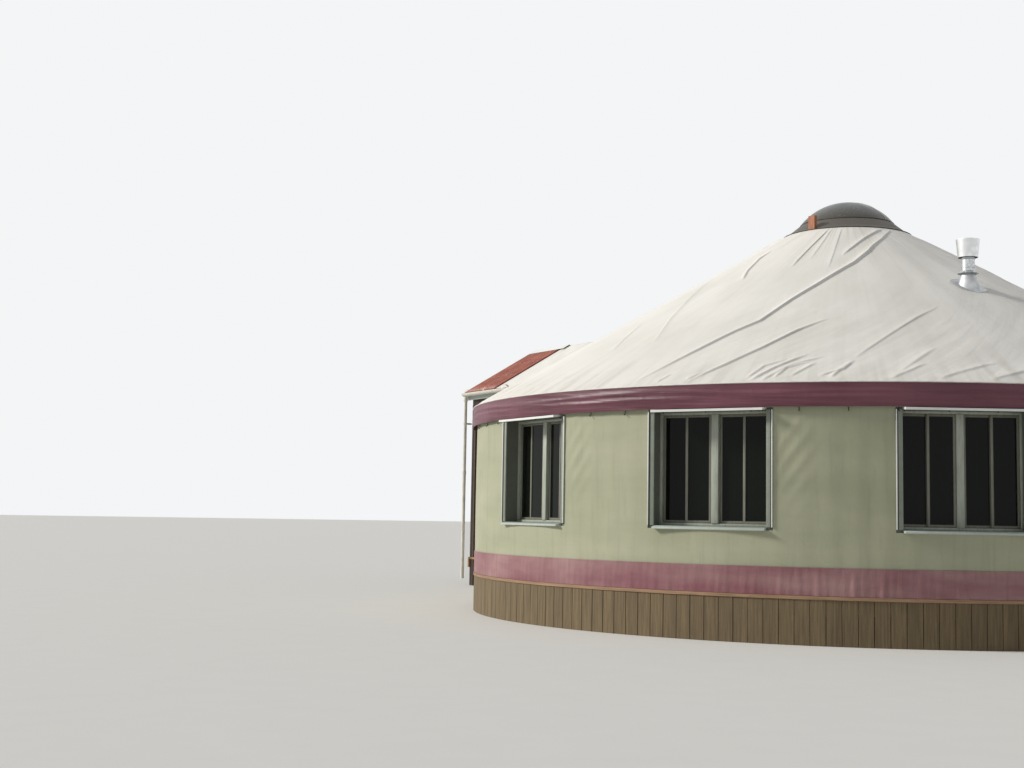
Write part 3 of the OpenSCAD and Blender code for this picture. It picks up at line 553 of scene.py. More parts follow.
# %% Paint and enamel
def brushed_paint(tree, main, worn, gloss=0.45, chalk=0.45):
    """Alkyd paint brushed on planed boards."""
    # Brush marks run up the board and catch the light, and chalky spots have lost their gloss.
    # Bristle marks are 0.5 mm apart and are drawn at 6 mm.
    place = add(tree, "TexCoord", out="Object")
    marks = drawn_out(tree, place, (0.006, 0.006, 0.09), 3.0)
    spots = add(tree, "TexNoise", {"Vector": place, "Scale": 8.0, "Detail": 5.0, "Roughness": 0.7})
    colour = laid_over(tree, spots, 0.42, 0.70, main, worn, chalk)
    rough = add(tree, "MapRange", {0: spots, 1: 0.3, 2: 0.8, 3: gloss, 4: gloss + 0.25})
    normal = add(tree, "Bump", {"Height": marks, "Distance": 0.0006})
    return {"Base Color": colour, "Roughness": rough, "Normal": normal}


def baked_enamel(tree, main, worn, grime, grime_share, gloss):
    """Enamel baked on steel sheet."""
    # Even and glossy when new; sun dulls it in clouds, and grime or rust starts in small spots
    place = add(tree, "TexCoord", out="Object")
    fade = add(tree, "TexNoise", {"Vector": place, "Scale": 3.0, "Detail": 4.0})
    spots = add(tree, "TexNoise",
                {"Vector": place, "Scale": 32.0, "Detail": 6.0, "Roughness": 0.75})
    colour = laid_over(tree, fade, 0.35, 0.7, main, worn, 0.75)
    colour = laid_over(tree, spots, 0.68 - grime_share, 0.80 - grime_share, colour, grime)
    rough = add(tree, "MapRange", {0: fade, 1: 0.3, 2: 0.7, 3: gloss, 4: gloss + 0.18})
    normal = add(tree, "Bump", {"Height": spots, "Distance": 0.0006})
    return {"Base Color": colour, "Roughness": rough, "Normal": normal}


pale_paint = new_material("alkyd_paint_pale_green_grey", brushed_paint, "#BAC3BB", "#9FA79E")
# The window boxes' dark grey-green is painted shade, the shade inside the deep reveals
reveal_paint_painted_shade = new_material("alkyd_paint_grey_green_painted_shade", brushed_paint, "#6C7064", "#565A50", 0.6)
jamb_paint = new_material("alkyd_paint_jamb", brushed_paint, "#8A9184", "#71776B", 0.5)
panel_paint = new_material("alkyd_paint_panel", brushed_paint, "#C7CDC6", "#A7ADA4", 0.5)
door_paint = new_material("alkyd_paint_burgundy", brushed_paint, "#6A3449", "#7E4A5C", 0.35, 0.3)
cap_enamel = new_material("steel_enamel_white", baked_enamel, "#EFF0EC", "#DADBD5", "#B9B2A2",
                          0.0, 0.32)
curb_enamel = new_material("aluminium_enamel_bronze", baked_enamel, "#4C463E", "#5E574E",
                           "#847B6D", 0.04, 0.45)
print("paints made")

# %% Corrugated sheet
PORCH_REACH = 8.260
WAVE_PITCH = 0.076


def corrugated_enamel(tree):
    """Brick-red enamel on rolled steel sheet."""
    # The crests are painted pale salmon, a painted highlight where sun would catch them, broken up
    # by random fading, and spots in the troughs are painted dark, painted shade between the waves
    # mixed with rust, so the waves read as stripes even in flat light. The first crest is at the
    # sheet's outer end.
    place = add(tree, "TexCoord", out="Object")
    along = add(tree, "SeparateXYZ", {0: place}, out=1)
    turns = add(tree, "Math", {0: along, 1: 2 * math.pi / WAVE_PITCH,
                               2: 2 * math.pi * PORCH_REACH / WAVE_PITCH}, operation="MULTIPLY_ADD")
    crest_for_painted_light = add(tree, "Math", {0: turns}, operation="COSINE")
    fade = add(tree, "TexNoise", {"Vector": place, "Scale": 4.0, "Detail": 4.0})
    wander = add(tree, "Math", {0: fade, 1: 1.6, 2: crest_for_painted_light}, operation="MULTIPLY_ADD")
    # Pale salmon on the crests is painted highlight, broken up by random fading
    colour = laid_over(tree, wander, 0.9, 1.7, "#7C3021", "#CB7F68")
    spots = add(tree, "TexNoise",
                {"Vector": place, "Scale": 28.0, "Detail": 6.0, "Roughness": 0.75})
    low = add(tree, "MapRange", {0: crest_for_painted_light, 1: -1.0, 2: 0.2, 3: 0.55, 4: 0.0})
    stain = add(tree, "MapRange", {0: spots, 1: 0.42, 2: 0.62})
    share = add(tree, "Math", {0: low, 1: stain}, operation="MULTIPLY")
    # Dark spots in the troughs are painted shade between the waves, mixed with rust spots
    colour = add(tree, "Mix", {0: share, 6: colour, 7: linear("#4E2C21")}, **RGB)
    rough = add(tree, "MapRange", {0: fade, 1: 0.3, 2: 0.7, 3: 0.38, 4: 0.58})
    normal = add(tree, "Bump", {"Height": spots, "Distance": 0.0006})
    return {"Base Color": colour, "Roughness": rough, "Normal": normal}


red_sheet_painted_light = new_material("steel_enamel_brick_red_painted_light", corrugated_enamel)
print(red_sheet_painted_light.name)


# %% Metal and vinyl
def bare_metal(tree, tint, dull, rough, spangle, bump=0.0004):
    """Bare sheet metal. The tint is its mirror colour."""
    # Zinc freezes in patches of crystal, each with its own gloss, which breaks reflections up
    place = add(tree, "TexCoord", out="Object")
    cells = add(tree, "TexVoronoi", {"Vector": place, "Scale": 1 / spangle}, out="Distance")
    colour = laid_over(tree, cells, 0.1, 0.7, tint, dull, 0.5)
    gloss = add(tree, "MapRange", {0: cells, 1: 0.0, 2: 0.8, 3: rough, 4: rough + 0.18})
    normal = add(tree, "Bump", {"Height": cells, "Distance": bump})
    return {"Base Color": colour, "Metallic": 1.0, "Roughness": gloss, "Normal": normal}


def extruded_vinyl(tree, main, dirt, gloss=0.38):
    """Vinyl drawn through a die."""
    # Perfectly even in colour, so dust and rain marks are all that breaks it. Rain marks are
    # about 25 mm wide and 0.2 m long.
    place = add(tree, "TexCoord", out="Object")
    marks = drawn_out(tree, place, (0.025, 0.025, 0.2), 5.0, Roughness=0.65)
    colour = laid_over(tree, marks, 0.42, 0.75, main, dirt, 0.8)
    normal = add(tree, "Bump", {"Height": marks, "Distance": 0.0006})
    return {"Base Color": colour, "Roughness": gloss, "IOR": 1.53, "Normal": normal}


galvanised = new_material("steel_galvanised", bare_metal, "#DDE0E1", "#989C9E", 0.30, 0.03)
dull_aluminium = new_material("aluminium_dull", bare_metal, "#C2C4C6", "#9FA1A2", 0.45, 0.08)
clamp_metal = new_material("aluminium_anodised_dark", bare_metal, "#605D57", "#44413C", 0.62, 0.05)
bright_steel = new_material("steel_satin_bright", bare_metal, "#F2F3F3", "#CDD0D1", 0.26, 0.06,
                            0.0002)
stainless = new_material("steel_stainless", bare_metal, "#D6D8D9", "#BFC2C4", 0.22, 0.01, 0.0001)
gutter_vinyl = new_material("vinyl_gutter_off_white", extruded_vinyl, "#E8E5DA", "#A8A294")
frame_vinyl = new_material("vinyl_frame_pale_grey", extruded_vinyl, "#AEB4A6", "#8B9083", 0.42)
sash_vinyl = new_material("vinyl_sash_taupe", extruded_vinyl, "#77776A", "#5D5C50", 0.45)
rubber = new_material("rubber_gasket", extruded_vinyl, "#26261F", "#3A392F", 0.7)
print("metals and vinyls made")


# %% Glass and acrylic
def float_glass(tree, tint, clear, ior):
    """Float glass with a coating that keeps heat in."""
    # The coating cuts the mirror image to a quarter, which a low index does here. The room behind
    # is so much darker than the day that the pane looks green-black, and in the windows that dark
    # is painted
    # shade: a dark tint in the pane itself
    place = add(tree, "TexCoord", out="Object")
    waves = add(tree, "TexNoise", {"Vector": place, "Scale": 2.0, "Detail": 1.0})
    dust = add(tree, "TexNoise", {"Vector": place, "Scale": 25.0, "Detail": 4.0})
    rough = add(tree, "MapRange", {0: dust, 1: 0.4, 2: 0.8, 3: 0.02, 4: 0.10})
    normal = add(tree, "Bump", {"Height": waves, "Distance": 0.002})
    return {"Base Color": linear(tint), "Roughness": rough, "IOR": ior, "Normal": normal,
            "Transmission Weight": clear}


def smoked_acrylic(tree):
    """Bronze-smoked acrylic, blown to a bubble, years in the weather."""
    # The top is painted grey-blue, a painted reflection of the sky, and lower down the colour turns
    # brown, a painted reflection of the roof together with a film of dust with pale specks, where
    # rain leaves it
    place = add(tree, "TexCoord", out="Object")
    height = add(tree, "SeparateXYZ", {0: place}, out=2)
    broad = add(tree, "TexNoise", {"Vector": place, "Scale": 3.5, "Detail": 4.0})
    level = add(tree, "Math", {0: broad, 1: 0.14, 2: height}, operation="MULTIPLY_ADD")
    # Brown below to grey-blue above: painted reflection of roof and sky, with dust below
    colour = laid_over(tree, level, 5.40, 5.66, "#4E4A41", "#5F6466")
    # Specks of dried dust are 2 to 5 mm and are drawn at about 12 mm
    specks = add(tree, "TexNoise",
                 {"Vector": place, "Scale": 55.0, "Detail": 3.0, "Roughness": 0.6})
    colour = laid_over(tree, specks, 0.64, 0.70, colour, "#B5B3A8", 0.8)
    rough = add(tree, "MapRange", {0: broad, 1: 0.35, 2: 0.7, 3: 0.22, 4: 0.42})
    normal = add(tree, "Bump", {"Height": specks, "Distance": 0.001})
    return {"Base Color": colour, "Roughness": rough, "IOR": 1.49, "Normal": normal,
            "Transmission Weight": 0.15}


# The windows' green-black tint is painted shade, the dark of the room behind
window_pane_painted_shade = new_material("float_glass_coated_painted_shade", float_glass, "#1B201A", 0.4, 1.2)
door_pane = new_material("float_glass_clear", float_glass, "#B9C4C0", 0.95, 1.5)
smoked_dome_painted_reflection = new_material("acrylic_smoked_painted_reflection", smoked_acrylic)
print("glass made")


# %% Concrete and cord
def cast_concrete(tree):
    """Concrete cast between boards."""
    # Dull grey, stained in clouds, with a skin of small pores
    place = add(tree, "TexCoord", out="Object")
    stains = add(tree, "TexNoise", {"Vector": place, "Scale": 4.0, "Detail": 5.0, "Roughness": 0.7})
    pores = add(tree, "TexNoise", {"Vector": place, "Scale": 85.0, "Detail": 4.0, "Roughness": 0.7})
    colour = laid_over(tree, stains, 0.35, 0.7, "#A09B91", "#7F7A70")
    normal = add(tree, "Bump", {"Height": pores, "Distance": 0.002})
    return {"Base Color": colour, "Roughness": 0.88, "Normal": normal}


def woven_cord(tree, main, dark):
    """Polyester yarn braided or woven to a cord or strap."""
    # Matt, with the strands as small dark ticks. Strands are 1 mm and are drawn at 4 mm.
    place = add(tree, "TexCoord", out="Object")
    strands = add(tree, "TexNoise", {"Vector": place, "Scale": 250.0, "Detail": 2.0})
    colour = laid_over(tree, strands, 0.4, 0.65, main, dark)
    normal = add(tree, "Bump", {"Height": strands, "Distance": 0.001})
    return {"Base Color": colour, "Roughness": 0.8, "Normal": normal}


concrete = new_material("concrete_cast", cast_concrete)
pale_strap = new_material("polyester_strap_pale", woven_cord, "#E3E4DC", "#BDBEB4")
dark_hook = new_material("polyester_hook_dark", woven_cord, "#37302F", "#211D1D")
print("concrete and cord made")

# %% [markdown]
# ## Finishes on the CAD pieces
# Most hard pieces have their real shape already, so they only get a material, in their own slot.
# Turned pieces also get smooth shading across their small facets.

# %% Finishes on the CAD pieces
FINISHES = [
    (pine_floor, "platform_deck"), (pine_round, "platform_frame centre_ring"),
    (concrete, "platform_piers"), (strip_wood, "skirting_strip"),
    (pine_slats, "lattice_east lattice_north lattice_west lattice_southwest lattice_southeast"),
    (stainless, "tension_cable door_handle"), (pine_radial, "rafters_east rafters_west"),
    (reveal_paint_painted_shade, "window_bucks"), (window_pane_painted_shade, "window_glass"), (pine_upright, "door_frame"),
    (door_paint, "door_leaf"), (door_pane, "door_glass"), (curb_enamel, "dome_curb"),
    (smoked_dome_painted_reflection, "dome"), (clamp_metal, "dome_clamp"), (block_wood, "dome_block"),
    (pale_strap, "dome_tie"), (galvanised, "stove_pipe"), (dull_aluminium, "pipe_flashing"),
    (bright_steel, "pipe_cap"), (pine_lengthways, "porch_joists"), (stained_post, "porch_posts"),
    (stained_beam, "porch_beams"), (stained_tie, "porch_trusses porch_rafters"),
    (pine_ceiling, "porch_boards"), (cap_enamel, "porch_ridge_cap"), (pale_paint, "porch_trim"),
    (gutter_vinyl, "porch_gutters porch_downspouts"), (panel_paint, "porch_side_panels"),
]
TURNED_PIECES = ("dome dome_curb dome_clamp stove_pipe pipe_cap pipe_flashing porch_gutters "
                 "porch_downspouts door_handle tension_cable dome_tie centre_ring")
for finish, node_names in FINISHES:
    for node_name in node_names.split():
        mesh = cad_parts[node_name].data
        mesh.materials.clear()
        mesh.materials.append(finish)
for node_name in TURNED_PIECES.split():
    only(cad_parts[node_name])
    bpy.ops.object.shade_smooth_by_angle(angle=math.radians(32))
deselect()
print("CAD pieces finished", sum(len(node_names.split()) for _, node_names in FINISHES))

# %% [markdown]
# ## Sheets that go round the house
# Cloth could be draped by simulation, but these sheets are pulled tight, and what shows on them are
# folds in places that the lacing and the tension choose. So each is a grid primitive whose columns
# go round the house and whose rows go up, and every point is moved to its place by a small
# function. The grid's own UV map then stays the flat cut of the cloth.


# %% Sheet tools
def round_sheet(name, columns, rows, start, end, place):
    """A grid wrapped from one bearing to another. place(bearing, v) gives radius and height."""
    piece, u, v = grid(name, columns, rows)
    bearing = start + (end - start) * u
    radius, height = place(bearing, v)
    angle = np.radians(bearing)
    height = height + 0 * radius
    set_points(piece.data,
               np.stack([radius * np.cos(angle), radius * np.sin(angle), height], axis=1))
    return piece


def ripple(bearing, waves, seed):
    """A smooth random line round the house: a sum of waves, each a whole number of times round."""
    source = random.Random(seed)
    total = 0 * bearing
    for count, height in waves:
        for _ in range(3):
            number = count + source.randint(0, count // 3 + 1)
            wave = np.sin(np.radians(bearing) * number + source.uniform(0, 6.28))
            total = total + height / 3 * wave
    return total


def bump_line(v, middle, half_width):
    """A rounded ridge across v, 1 high at its middle."""
    return np.exp(-(((v - middle) / half_width) ** 2))


print("sheet tools made")

# %% [markdown]
# ## Roof cloth
# The roof is one cone of canvas. What gives it life are the folds that its own tension pulls in it:
# ridges a few centimetres high that cross the slope on a slant, steep on their lower side. They
# could be left to a bump, but their outlines and shadows show, so they are real shape. Their places
# are chosen on the side that faces the camera, and turned copies cross the hidden sides.

# %% Fold lines
# Each fold: height, width, and points of (bearing in degrees, radius in metres) from its upper end
LONG_FOLDS = [
    (0.024, 0.027, [(94, 0.80), (79, 1.00), (66.5, 1.28), (58.1, 1.55), (55.3, 1.71), (49, 2.06),
                    (45, 2.27), (39.1, 2.70), (34.8, 3.1), (31.2, 3.63), (27.9, 3.89), (24.3, 4.32),
                    (21.6, 4.68), (19.5, 5.0)]),
    (0.021, 0.025, [(43.8, 3.60), (38.7, 3.92), (34.7, 4.30), (30.9, 4.67), (27.6, 5.02)]),
    (0.016, 0.026, [(84, 0.84), (74, 0.94), (65.3, 1.07), (56.3, 1.28), (49.9, 1.53), (45, 1.80)]),
    (0.013, 0.024, [(32.6, 0.78), (30.9, 1.09), (29.2, 1.42), (28.5, 1.75), (28, 2.1)]),
    (0.018, 0.024, [(3.8, 1.40), (5.5, 1.68), (10, 2.06), (14, 2.36)]),
    (0.013, 0.022, [(13.1, 4.03), (10.6, 3.68), (6.9, 3.30), (1, 2.73), (-2.8, 2.45), (-6.3, 2.21),
                    (-9.4, 2.1)]),
    (0.006, 0.022, [(34.5, 0.78), (33.7, 1.31), (33, 1.90)]),
    (0.006, 0.022, [(43, 0.78), (41.8, 1.16), (41.2, 1.73), (40.8, 2.2)]),
    (0.010, 0.022, [(64.5, 3.3), (58.8, 3.6), (54.4, 3.92), (50.6, 4.26), (47.6, 4.58)]),
    (0.008, 0.022, [(-2.5, 3.28), (1.5, 3.73), (4.5, 4.09)]),
]
EAVE_FOLDS = [
    (0.018, 0.024, [(41.5, 4.49), (37.7, 4.78), (35.3, 5.06)]),
    (0.016, 0.022, [(43.5, 4.55), (39.5, 4.75), (36.6, 5.07)]),
    (0.014, 0.022, [(38.8, 4.61), (36.2, 4.74), (34.8, 5.01)]),
    (0.014, 0.020, [(42, 4.66), (39.2, 4.79), (38.1, 5.0)]),
    (0.012, 0.020, [(42.7, 4.68), (40, 4.98)]),
    (0.016, 0.022, [(47.5, 4.63), (46.1, 4.84), (43.3, 4.98)]),
    (0.014, 0.022, [(46.9, 4.69), (44.7, 5.01)]),
    (0.012, 0.020, [(28.5, 4.84), (27, 4.98)]),
    (0.012, 0.020, [(24, 4.85), (23.1, 5.02)]),
    (0.012, 0.030, [(56.3, 4.70), (54.0, 4.86), (51.5, 5.04)]),
    (0.012, 0.034, [(65.5, 4.66), (61.8, 4.80), (57.0, 5.03)]),
    (0.011, 0.034, [(73, 4.64), (68.5, 4.82), (63, 5.03)]),
    (0.009, 0.030, [(58.7, 4.34), (52.5, 4.93)]),
]


def in_plan(folds, turn):
    """Fold lines turned round the house, as points in plan."""
    paths = []
    for height, width, line in folds:
        angle = np.radians([bearing + turn for bearing, _ in line])
        radius = np.array([r for _, r in line])
        paths.append((height, width,
                      np.stack([radius * np.cos(angle), radius * np.sin(angle)], axis=1)))
    return paths


LONG_PATHS = [path for turn in (0, 92, 178, 268) for path in in_plan(LONG_FOLDS, turn)]
EAVE_PATHS = [path for turn in (0, 60, 120, 182, 240, 300) for path in in_plan(EAVE_FOLDS, turn)]
print("long folds", len(LONG_PATHS), "folds at the eave", len(EAVE_PATHS))

# %% Fold shapes
FAR_AWAY = 9.0
# How wide a fold is on its steep lower side and on its upper side, as shares of its stated width
LOWER_SIDE, UPPER_SIDE = 0.45, 1.7


def fold_field(points, paths, tail):
    """Height of the folds at each point in plan, and each point's distance to the nearest fold."""
    total, nearest = np.zeros(len(points)), np.full(len(points), FAR_AWAY)
    for height, width, path in paths:
        low, high = path.min(0) - tail, path.max(0) + tail
        near = np.where(((points > low) & (points < high)).all(1))[0]
        if not len(near):
            continue
        best = np.full(len(near), FAR_AWAY)
        side, along = np.zeros(len(near)), np.zeros(len(near))
        lengths = np.linalg.norm(np.diff(path, axis=0), axis=1)
        before = np.concatenate([[0], np.cumsum(lengths)])
        for i, length in enumerate(lengths):
            step = (path[i + 1] - path[i]) / length
            offset = points[near] - path[i]
            t = np.clip(offset @ step, 0, length)
            distance = np.linalg.norm(offset - t[:, None] * step, axis=1)
            closer = distance < best
            best[closer] = distance[closer]
            side[closer] = (step[0] * offset[:, 1] - step[1] * offset[:, 0])[closer]
            along[closer] = before[i] + t[closer]
        # A fold rises over its first quarter and dies over its last seventh
        share = along / before[-1]
        fade = np.clip(np.minimum(share * 4, (1 - share) * 7), 0, 1) ** 0.7
        steep = np.where(side > 0, LOWER_SIDE, UPPER_SIDE)
        rise = height * fade * np.exp(-((best / (width * steep)) ** 1.6))
        # Where two folds meet, the cloth is about as high as the higher one
        total[near] = np.cbrt(total[near] ** 3 + rise ** 3)
        nearest[near] = np.minimum(nearest[near], best)
    return total, nearest


def refine(piece, paths, reach):
    """Subdivides the faces near the folds once."""
    _, nearest = fold_field(face_centres(piece.data)[:, :2], paths, reach + 0.05)
    pick_faces(piece, nearest < reach)
    bpy.ops.mesh.subdivide(number_cuts=1, quadcorner="INNERVERT")
    object_mode()


print("fold tools made")

# %% Roof cloth piece
ROOF_TOP_RADIUS, ROOF_EDGE_RADIUS = 0.700, 5.083
PIPE_BEARING, PIPE_RADIUS = math.radians(78.75), 2.65
PIPE = np.array([PIPE_RADIUS * math.cos(PIPE_BEARING), PIPE_RADIUS * math.sin(PIPE_BEARING)])


def plain_cone(bearing, v):
    """The roof before it has any fold."""
    radius = ROOF_EDGE_RADIUS + (ROOF_TOP_RADIUS - ROOF_EDGE_RADIUS) * v
    return radius, roof_height(radius)


roof = round_sheet("roof_cloth", 300, 50, DOOR_BEARING, DOOR_BEARING + 360, plain_cone)
weld(roof, 0.0005)
for reach in (0.10, 0.04):
    refine(roof, LONG_PATHS + EAVE_PATHS, reach)
refine(roof, in_plan(LONG_FOLDS + EAVE_FOLDS, 0), 0.05)
print("roof triangles", sum(len(polygon.vertices) - 2 for polygon in roof.data.polygons))


# %% Roof folds
def beyond(distance, start, run):
    """0 up to a distance, 1 from a run further on."""
    return np.clip((distance - start) / run, 0, 1)


points = get_points(roof.data)
radius = np.linalg.norm(points[:, :2], axis=1)
bearing = np.degrees(np.arctan2(points[:, 1], points[:, 0]))
lift = fold_field(points[:, :2], LONG_PATHS + EAVE_PATHS, 0.2)[0]
sag = ripple(bearing, [(7, 0.004), (24, 0.004)], 3) * np.sin(beyond(radius, 0.8, 4.2) * math.pi)
# Cloth lies flat under the curb's apron, at the stitched eave, at the pipe and under the
# porch's cloth
by_curb = beyond(radius, 0.868, 0.12)
by_eave = np.clip((5.075 - radius) / 0.05, 0, 1)
by_pipe = beyond(np.linalg.norm(points[:, :2] - PIPE, axis=1), 0.24, 0.15)
at_porch = (points[:, 1] < 0) & (radius > 1.3)
by_porch = np.where(at_porch, beyond(np.abs(points[:, 0]), 1.55, 0.15), 1)
lift = (lift + sag) * by_curb * by_eave * by_pipe * by_porch
points[:, 2] = roof_height(radius) + 0.001 + lift * math.cos(ROOF_PITCH)
points[:, :2] *= (1 + lift * math.sin(ROOF_PITCH) / radius)[:, None]
set_points(roof.data, points)
done(roof, roof_cloth, ["roof_cover"])
print("highest fold", round(float(lift.max()), 3))

# %% [markdown]
# A white bead, the roof's own rolled hem, shows above the valance. It is a thin torus at the eave,
# flattened a little because the hem's cord lies in a folded edge.

# %% Eave bead
bead = thin_ring("eave_bead", EAVE_RADIUS + 0.004, 0.008, 300, (0, 0, EAVE_Z - 0.003))
edit_all(bead)
bpy.ops.transform.resize(value=(1, 1, 0.8))
done(bead, hem_cloth)

# %% [markdown]
# ## Valance
# The burgundy valance hangs from the eave and hides the top of the wall. Its cut is longer round
# than the house, so it lies in two long soft rolls that wander up and down, with a few thin
# slanting creases. Its lowest fifth, below a stitched line, holds the hem cord and turns in.

# %% Valance
HEM_SHARE = 0.2
CREASE_STEP, METRES_A_DEGREE = 0.30, 0.0877


def valance_shape(bearing, v):
    """Radius and height of a point of the valance: v is 0 at the hem and 1 at the eave."""
    rolls = 0 * bearing
    for middle, height, seed in ((0.64, 0.0095, 5), (0.40, 0.0085, 6)):
        wander = 0.07 * ripple(bearing, [(8, 1.0), (17, 0.7)], seed)
        strength = 0.65 + 0.6 * ripple(bearing, [(11, 1.0), (26, 0.5)], seed + 20)
        roll = np.exp(-(((v - middle - wander) / 0.095) ** 2))
        rolls = rolls + height * np.clip(strength, 0.05, 1.2) * roll
    slant = bearing * METRES_A_DEGREE / CREASE_STEP + v * 0.30
    slant = (slant + 0.5 * ripple(bearing, [(13, 1.0)], 9)) % 1.0
    in_middle = np.sin(math.pi * beyond(v, 0.15, 0.75))
    creases = 0.0036 * bump_line(slant, 0.5, 0.045) * in_middle
    # The hem turns in under its stitched line
    below = np.clip((HEM_SHARE - v) / HEM_SHARE, 0, 1)
    turn_in = 0.012 * below ** 1.4 * (0.8 + 0.5 * ripple(bearing, [(60, 1.0)], 12))
    stitch = 0.002 * bump_line(v, HEM_SHARE, 0.022)
    ease = np.clip((1 - v) / 0.10, 0, 1)
    radius = EAVE_RADIUS + 0.0035 + (rolls + creases) * ease - turn_in - stitch
    wave = 0.003 * (1 + ripple(bearing, [(21, 0.7), (52, 0.3)], 14)) * (1 - v) ** 2
    return radius, HEM_Z + 0.001 + wave + (EAVE_Z - HEM_Z - 0.001) * v


def halves(name, radius, door_half):
    """Name and bearings of the eastern and the western half of a sheet that stops at the door."""
    # The halves lap a little at bearing 90
    door_angle = math.degrees(math.asin(door_half / radius))
    return ((name.format("east"), DOOR_BEARING + door_angle - 360, 90.05),
            (name.format("west"), 89.95, DOOR_BEARING - door_angle))


for name, start, end in halves("valance_{}_cloth", EAVE_RADIUS, 0.529):
    piece = round_sheet(name, 640, 34, start, end, valance_shape)
    done(piece, valance_cloth, ["valance"])

# %% [markdown]
# Small dark hooks hold the roof's lashing under the hem, one at each sixty-fourth of the way round.
# A hook is a short rod that is bent: the end of a cylinder is spun round a point beside it.

# %% Lashing hooks
HOOK_RADIUS, HOOK_Z, HOOK_COUNT, FIRST_HOOK = 5.0425, 2.402, 64, 41.1
deselect()
bpy.ops.mesh.primitive_cylinder_add(vertices=8, radius=0.0045, depth=0.030,
                                    location=(HOOK_RADIUS, 0, HOOK_Z))
hook = named("lashing_hooks")
bake_place(hook)
foot_z = get_points(hook.data)[:, 2].min()
pick_faces(hook, face_centres(hook.data)[:, 2] < foot_z + 0.001)
bpy.ops.mesh.spin(steps=6, angle=math.radians(165), center=(HOOK_RADIUS + 0.012, 0, foot_z),
                  axis=(0, 1, 0))
weld(hook, 0.0001)
face_outward(hook)
hook_bearings = [FIRST_HOOK + i * (360 / HOOK_COUNT) for i in range(HOOK_COUNT)]
# No hook stands within 8 degrees of the door
moves = [turned(b) for b in hook_bearings if abs(degrees_from(b, DOOR_BEARING)) > 8]
done(join(copies(hook, moves), "lashing_hooks"), dark_hook, smooth=40)

# %% [markdown]
# ## Wall cloth
# Four covers of insulated canvas stand round the house, cut out at the windows. Faint upright ribs
# stand where slats press from behind, the flats between swell a little, and creases slant down from
# the corners of the window frames, where the cloth is pulled over the boards.

# %% Wall cloth shape
HALF_OPENING = 0.702
OPENING_ANGLE = math.degrees(math.asin(HALF_OPENING / WALL_RADIUS))
CUT_FOOT, CUT_HEAD = SILL_Z - 0.03, HEAD_Z + 0.02
RIB_COUNT = 115


def wall_shape(bearing, v):
    """Radius and height of a point of the wall cloth."""
    height = CLOTH_FOOT + 0.001 + (WALL_TOP - CLOTH_FOOT - 0.002) * v
    strength = 0.6 + 0.4 * np.sin(np.radians(bearing) * 9)
    ribs = 0.0016 * np.sin(np.radians(bearing) * RIB_COUNT) * strength
    swell = 0.0035 * ripple(bearing + 9 * v, [(16, 1.0), (37, 0.6)], 21) * np.sin(math.pi * v)
    creases = 0 * bearing
    for window in WINDOW_BEARINGS:
        # Metres from the window's middle, and beyond each edge, where creases fall to the left
        across = degrees_from(bearing, window) * math.radians(1) * WALL_RADIUS
        for off, lean, depth in ((across - HALF_OPENING, 1.0, 0.0060),
                                 (-across - HALF_OPENING, -1.0, 0.0012)):
            inside = bump_line(off, 0.22, 0.17) * bump_line(height, 1.95, 0.42)
            # A crease falls 1.3 m a metre, and the next one is 0.23 m below it
            line = (height - lean * 1.3 * across) * 27 + 2.0 * ripple(bearing, [(23, 1.0)], 4)
            creases = creases + depth * inside * np.clip(np.sin(line), -0.3, 1)
    hem = 0.003 * bump_line(v, 0.012, 0.012)
    return WALL_RADIUS - 0.003 + ribs + swell + creases + hem, height


print("opening angle", round(OPENING_ANGLE, 2))


# %% Wall cover
def cut(place, direction):
    """Cuts the whole piece in edit mode with a plane, and keeps both sides."""
    bpy.ops.mesh.select_all(action="SELECT")
    bpy.ops.mesh.bisect(plane_co=place, plane_no=direction)


def wall_cover(name, start, end, node):
    """One cover, with a hole for each window between its two bearings."""
    piece = round_sheet(name, int((end - start) * 2.6), 72, start + 0.02, end - 0.02, wall_shape)
    edit_all(piece)
    bpy.ops.mesh.select_mode(type="FACE")
    for window in WINDOW_BEARINGS:
        if start - 9 < window < end + 9:
            direction = Vector((-math.sin(math.radians(window)), math.cos(math.radians(window)), 0))
            for side in (-1, 1):
                turn = math.radians(window + side * OPENING_ANGLE)
                cut(Vector((math.cos(turn), math.sin(turn), 0)) * WALL_RADIUS, direction)
    for level in (CUT_FOOT, CUT_HEAD):
        cut((0, 0, level), (0, 0, 1))
    object_mode()
    centres = face_centres(piece.data)
    bearing = np.degrees(np.arctan2(centres[:, 1], centres[:, 0]))
    level = (centres[:, 2] > CUT_FOOT) & (centres[:, 2] < CUT_HEAD)
    inside = np.zeros(len(centres), bool)
    for window in WINDOW_BEARINGS:
        inside |= (np.abs(degrees_from(bearing, window)) < OPENING_ANGLE) & level
    pick_faces(piece, inside)
    if inside.any():
        bpy.ops.mesh.delete(type="FACE")
    return done(piece, wall_cloth, [node])


# %% Wall cloth pieces
DOOR_HALF = 0.530
DOOR_EDGE = math.degrees(math.asin(DOOR_HALF / WALL_RADIUS))
for side, start, end, windows in (
    ("east", -15, 90, 3),
    ("west", 90, 195, 3),
    ("southwest", 195, DOOR_BEARING - DOOR_EDGE, 0),
    ("southeast", DOOR_BEARING + DOOR_EDGE - 360, -15, 0),
):
    cover = wall_cover("wall_cloth_" + side, start, end, "wall_cover_" + side)

# %% [markdown]
# ## Lower band
# The band along the foot hangs loose, so it lies in many small upright folds, deeper towards its
# free edge, over a cord that is sewn in a little above the hem.


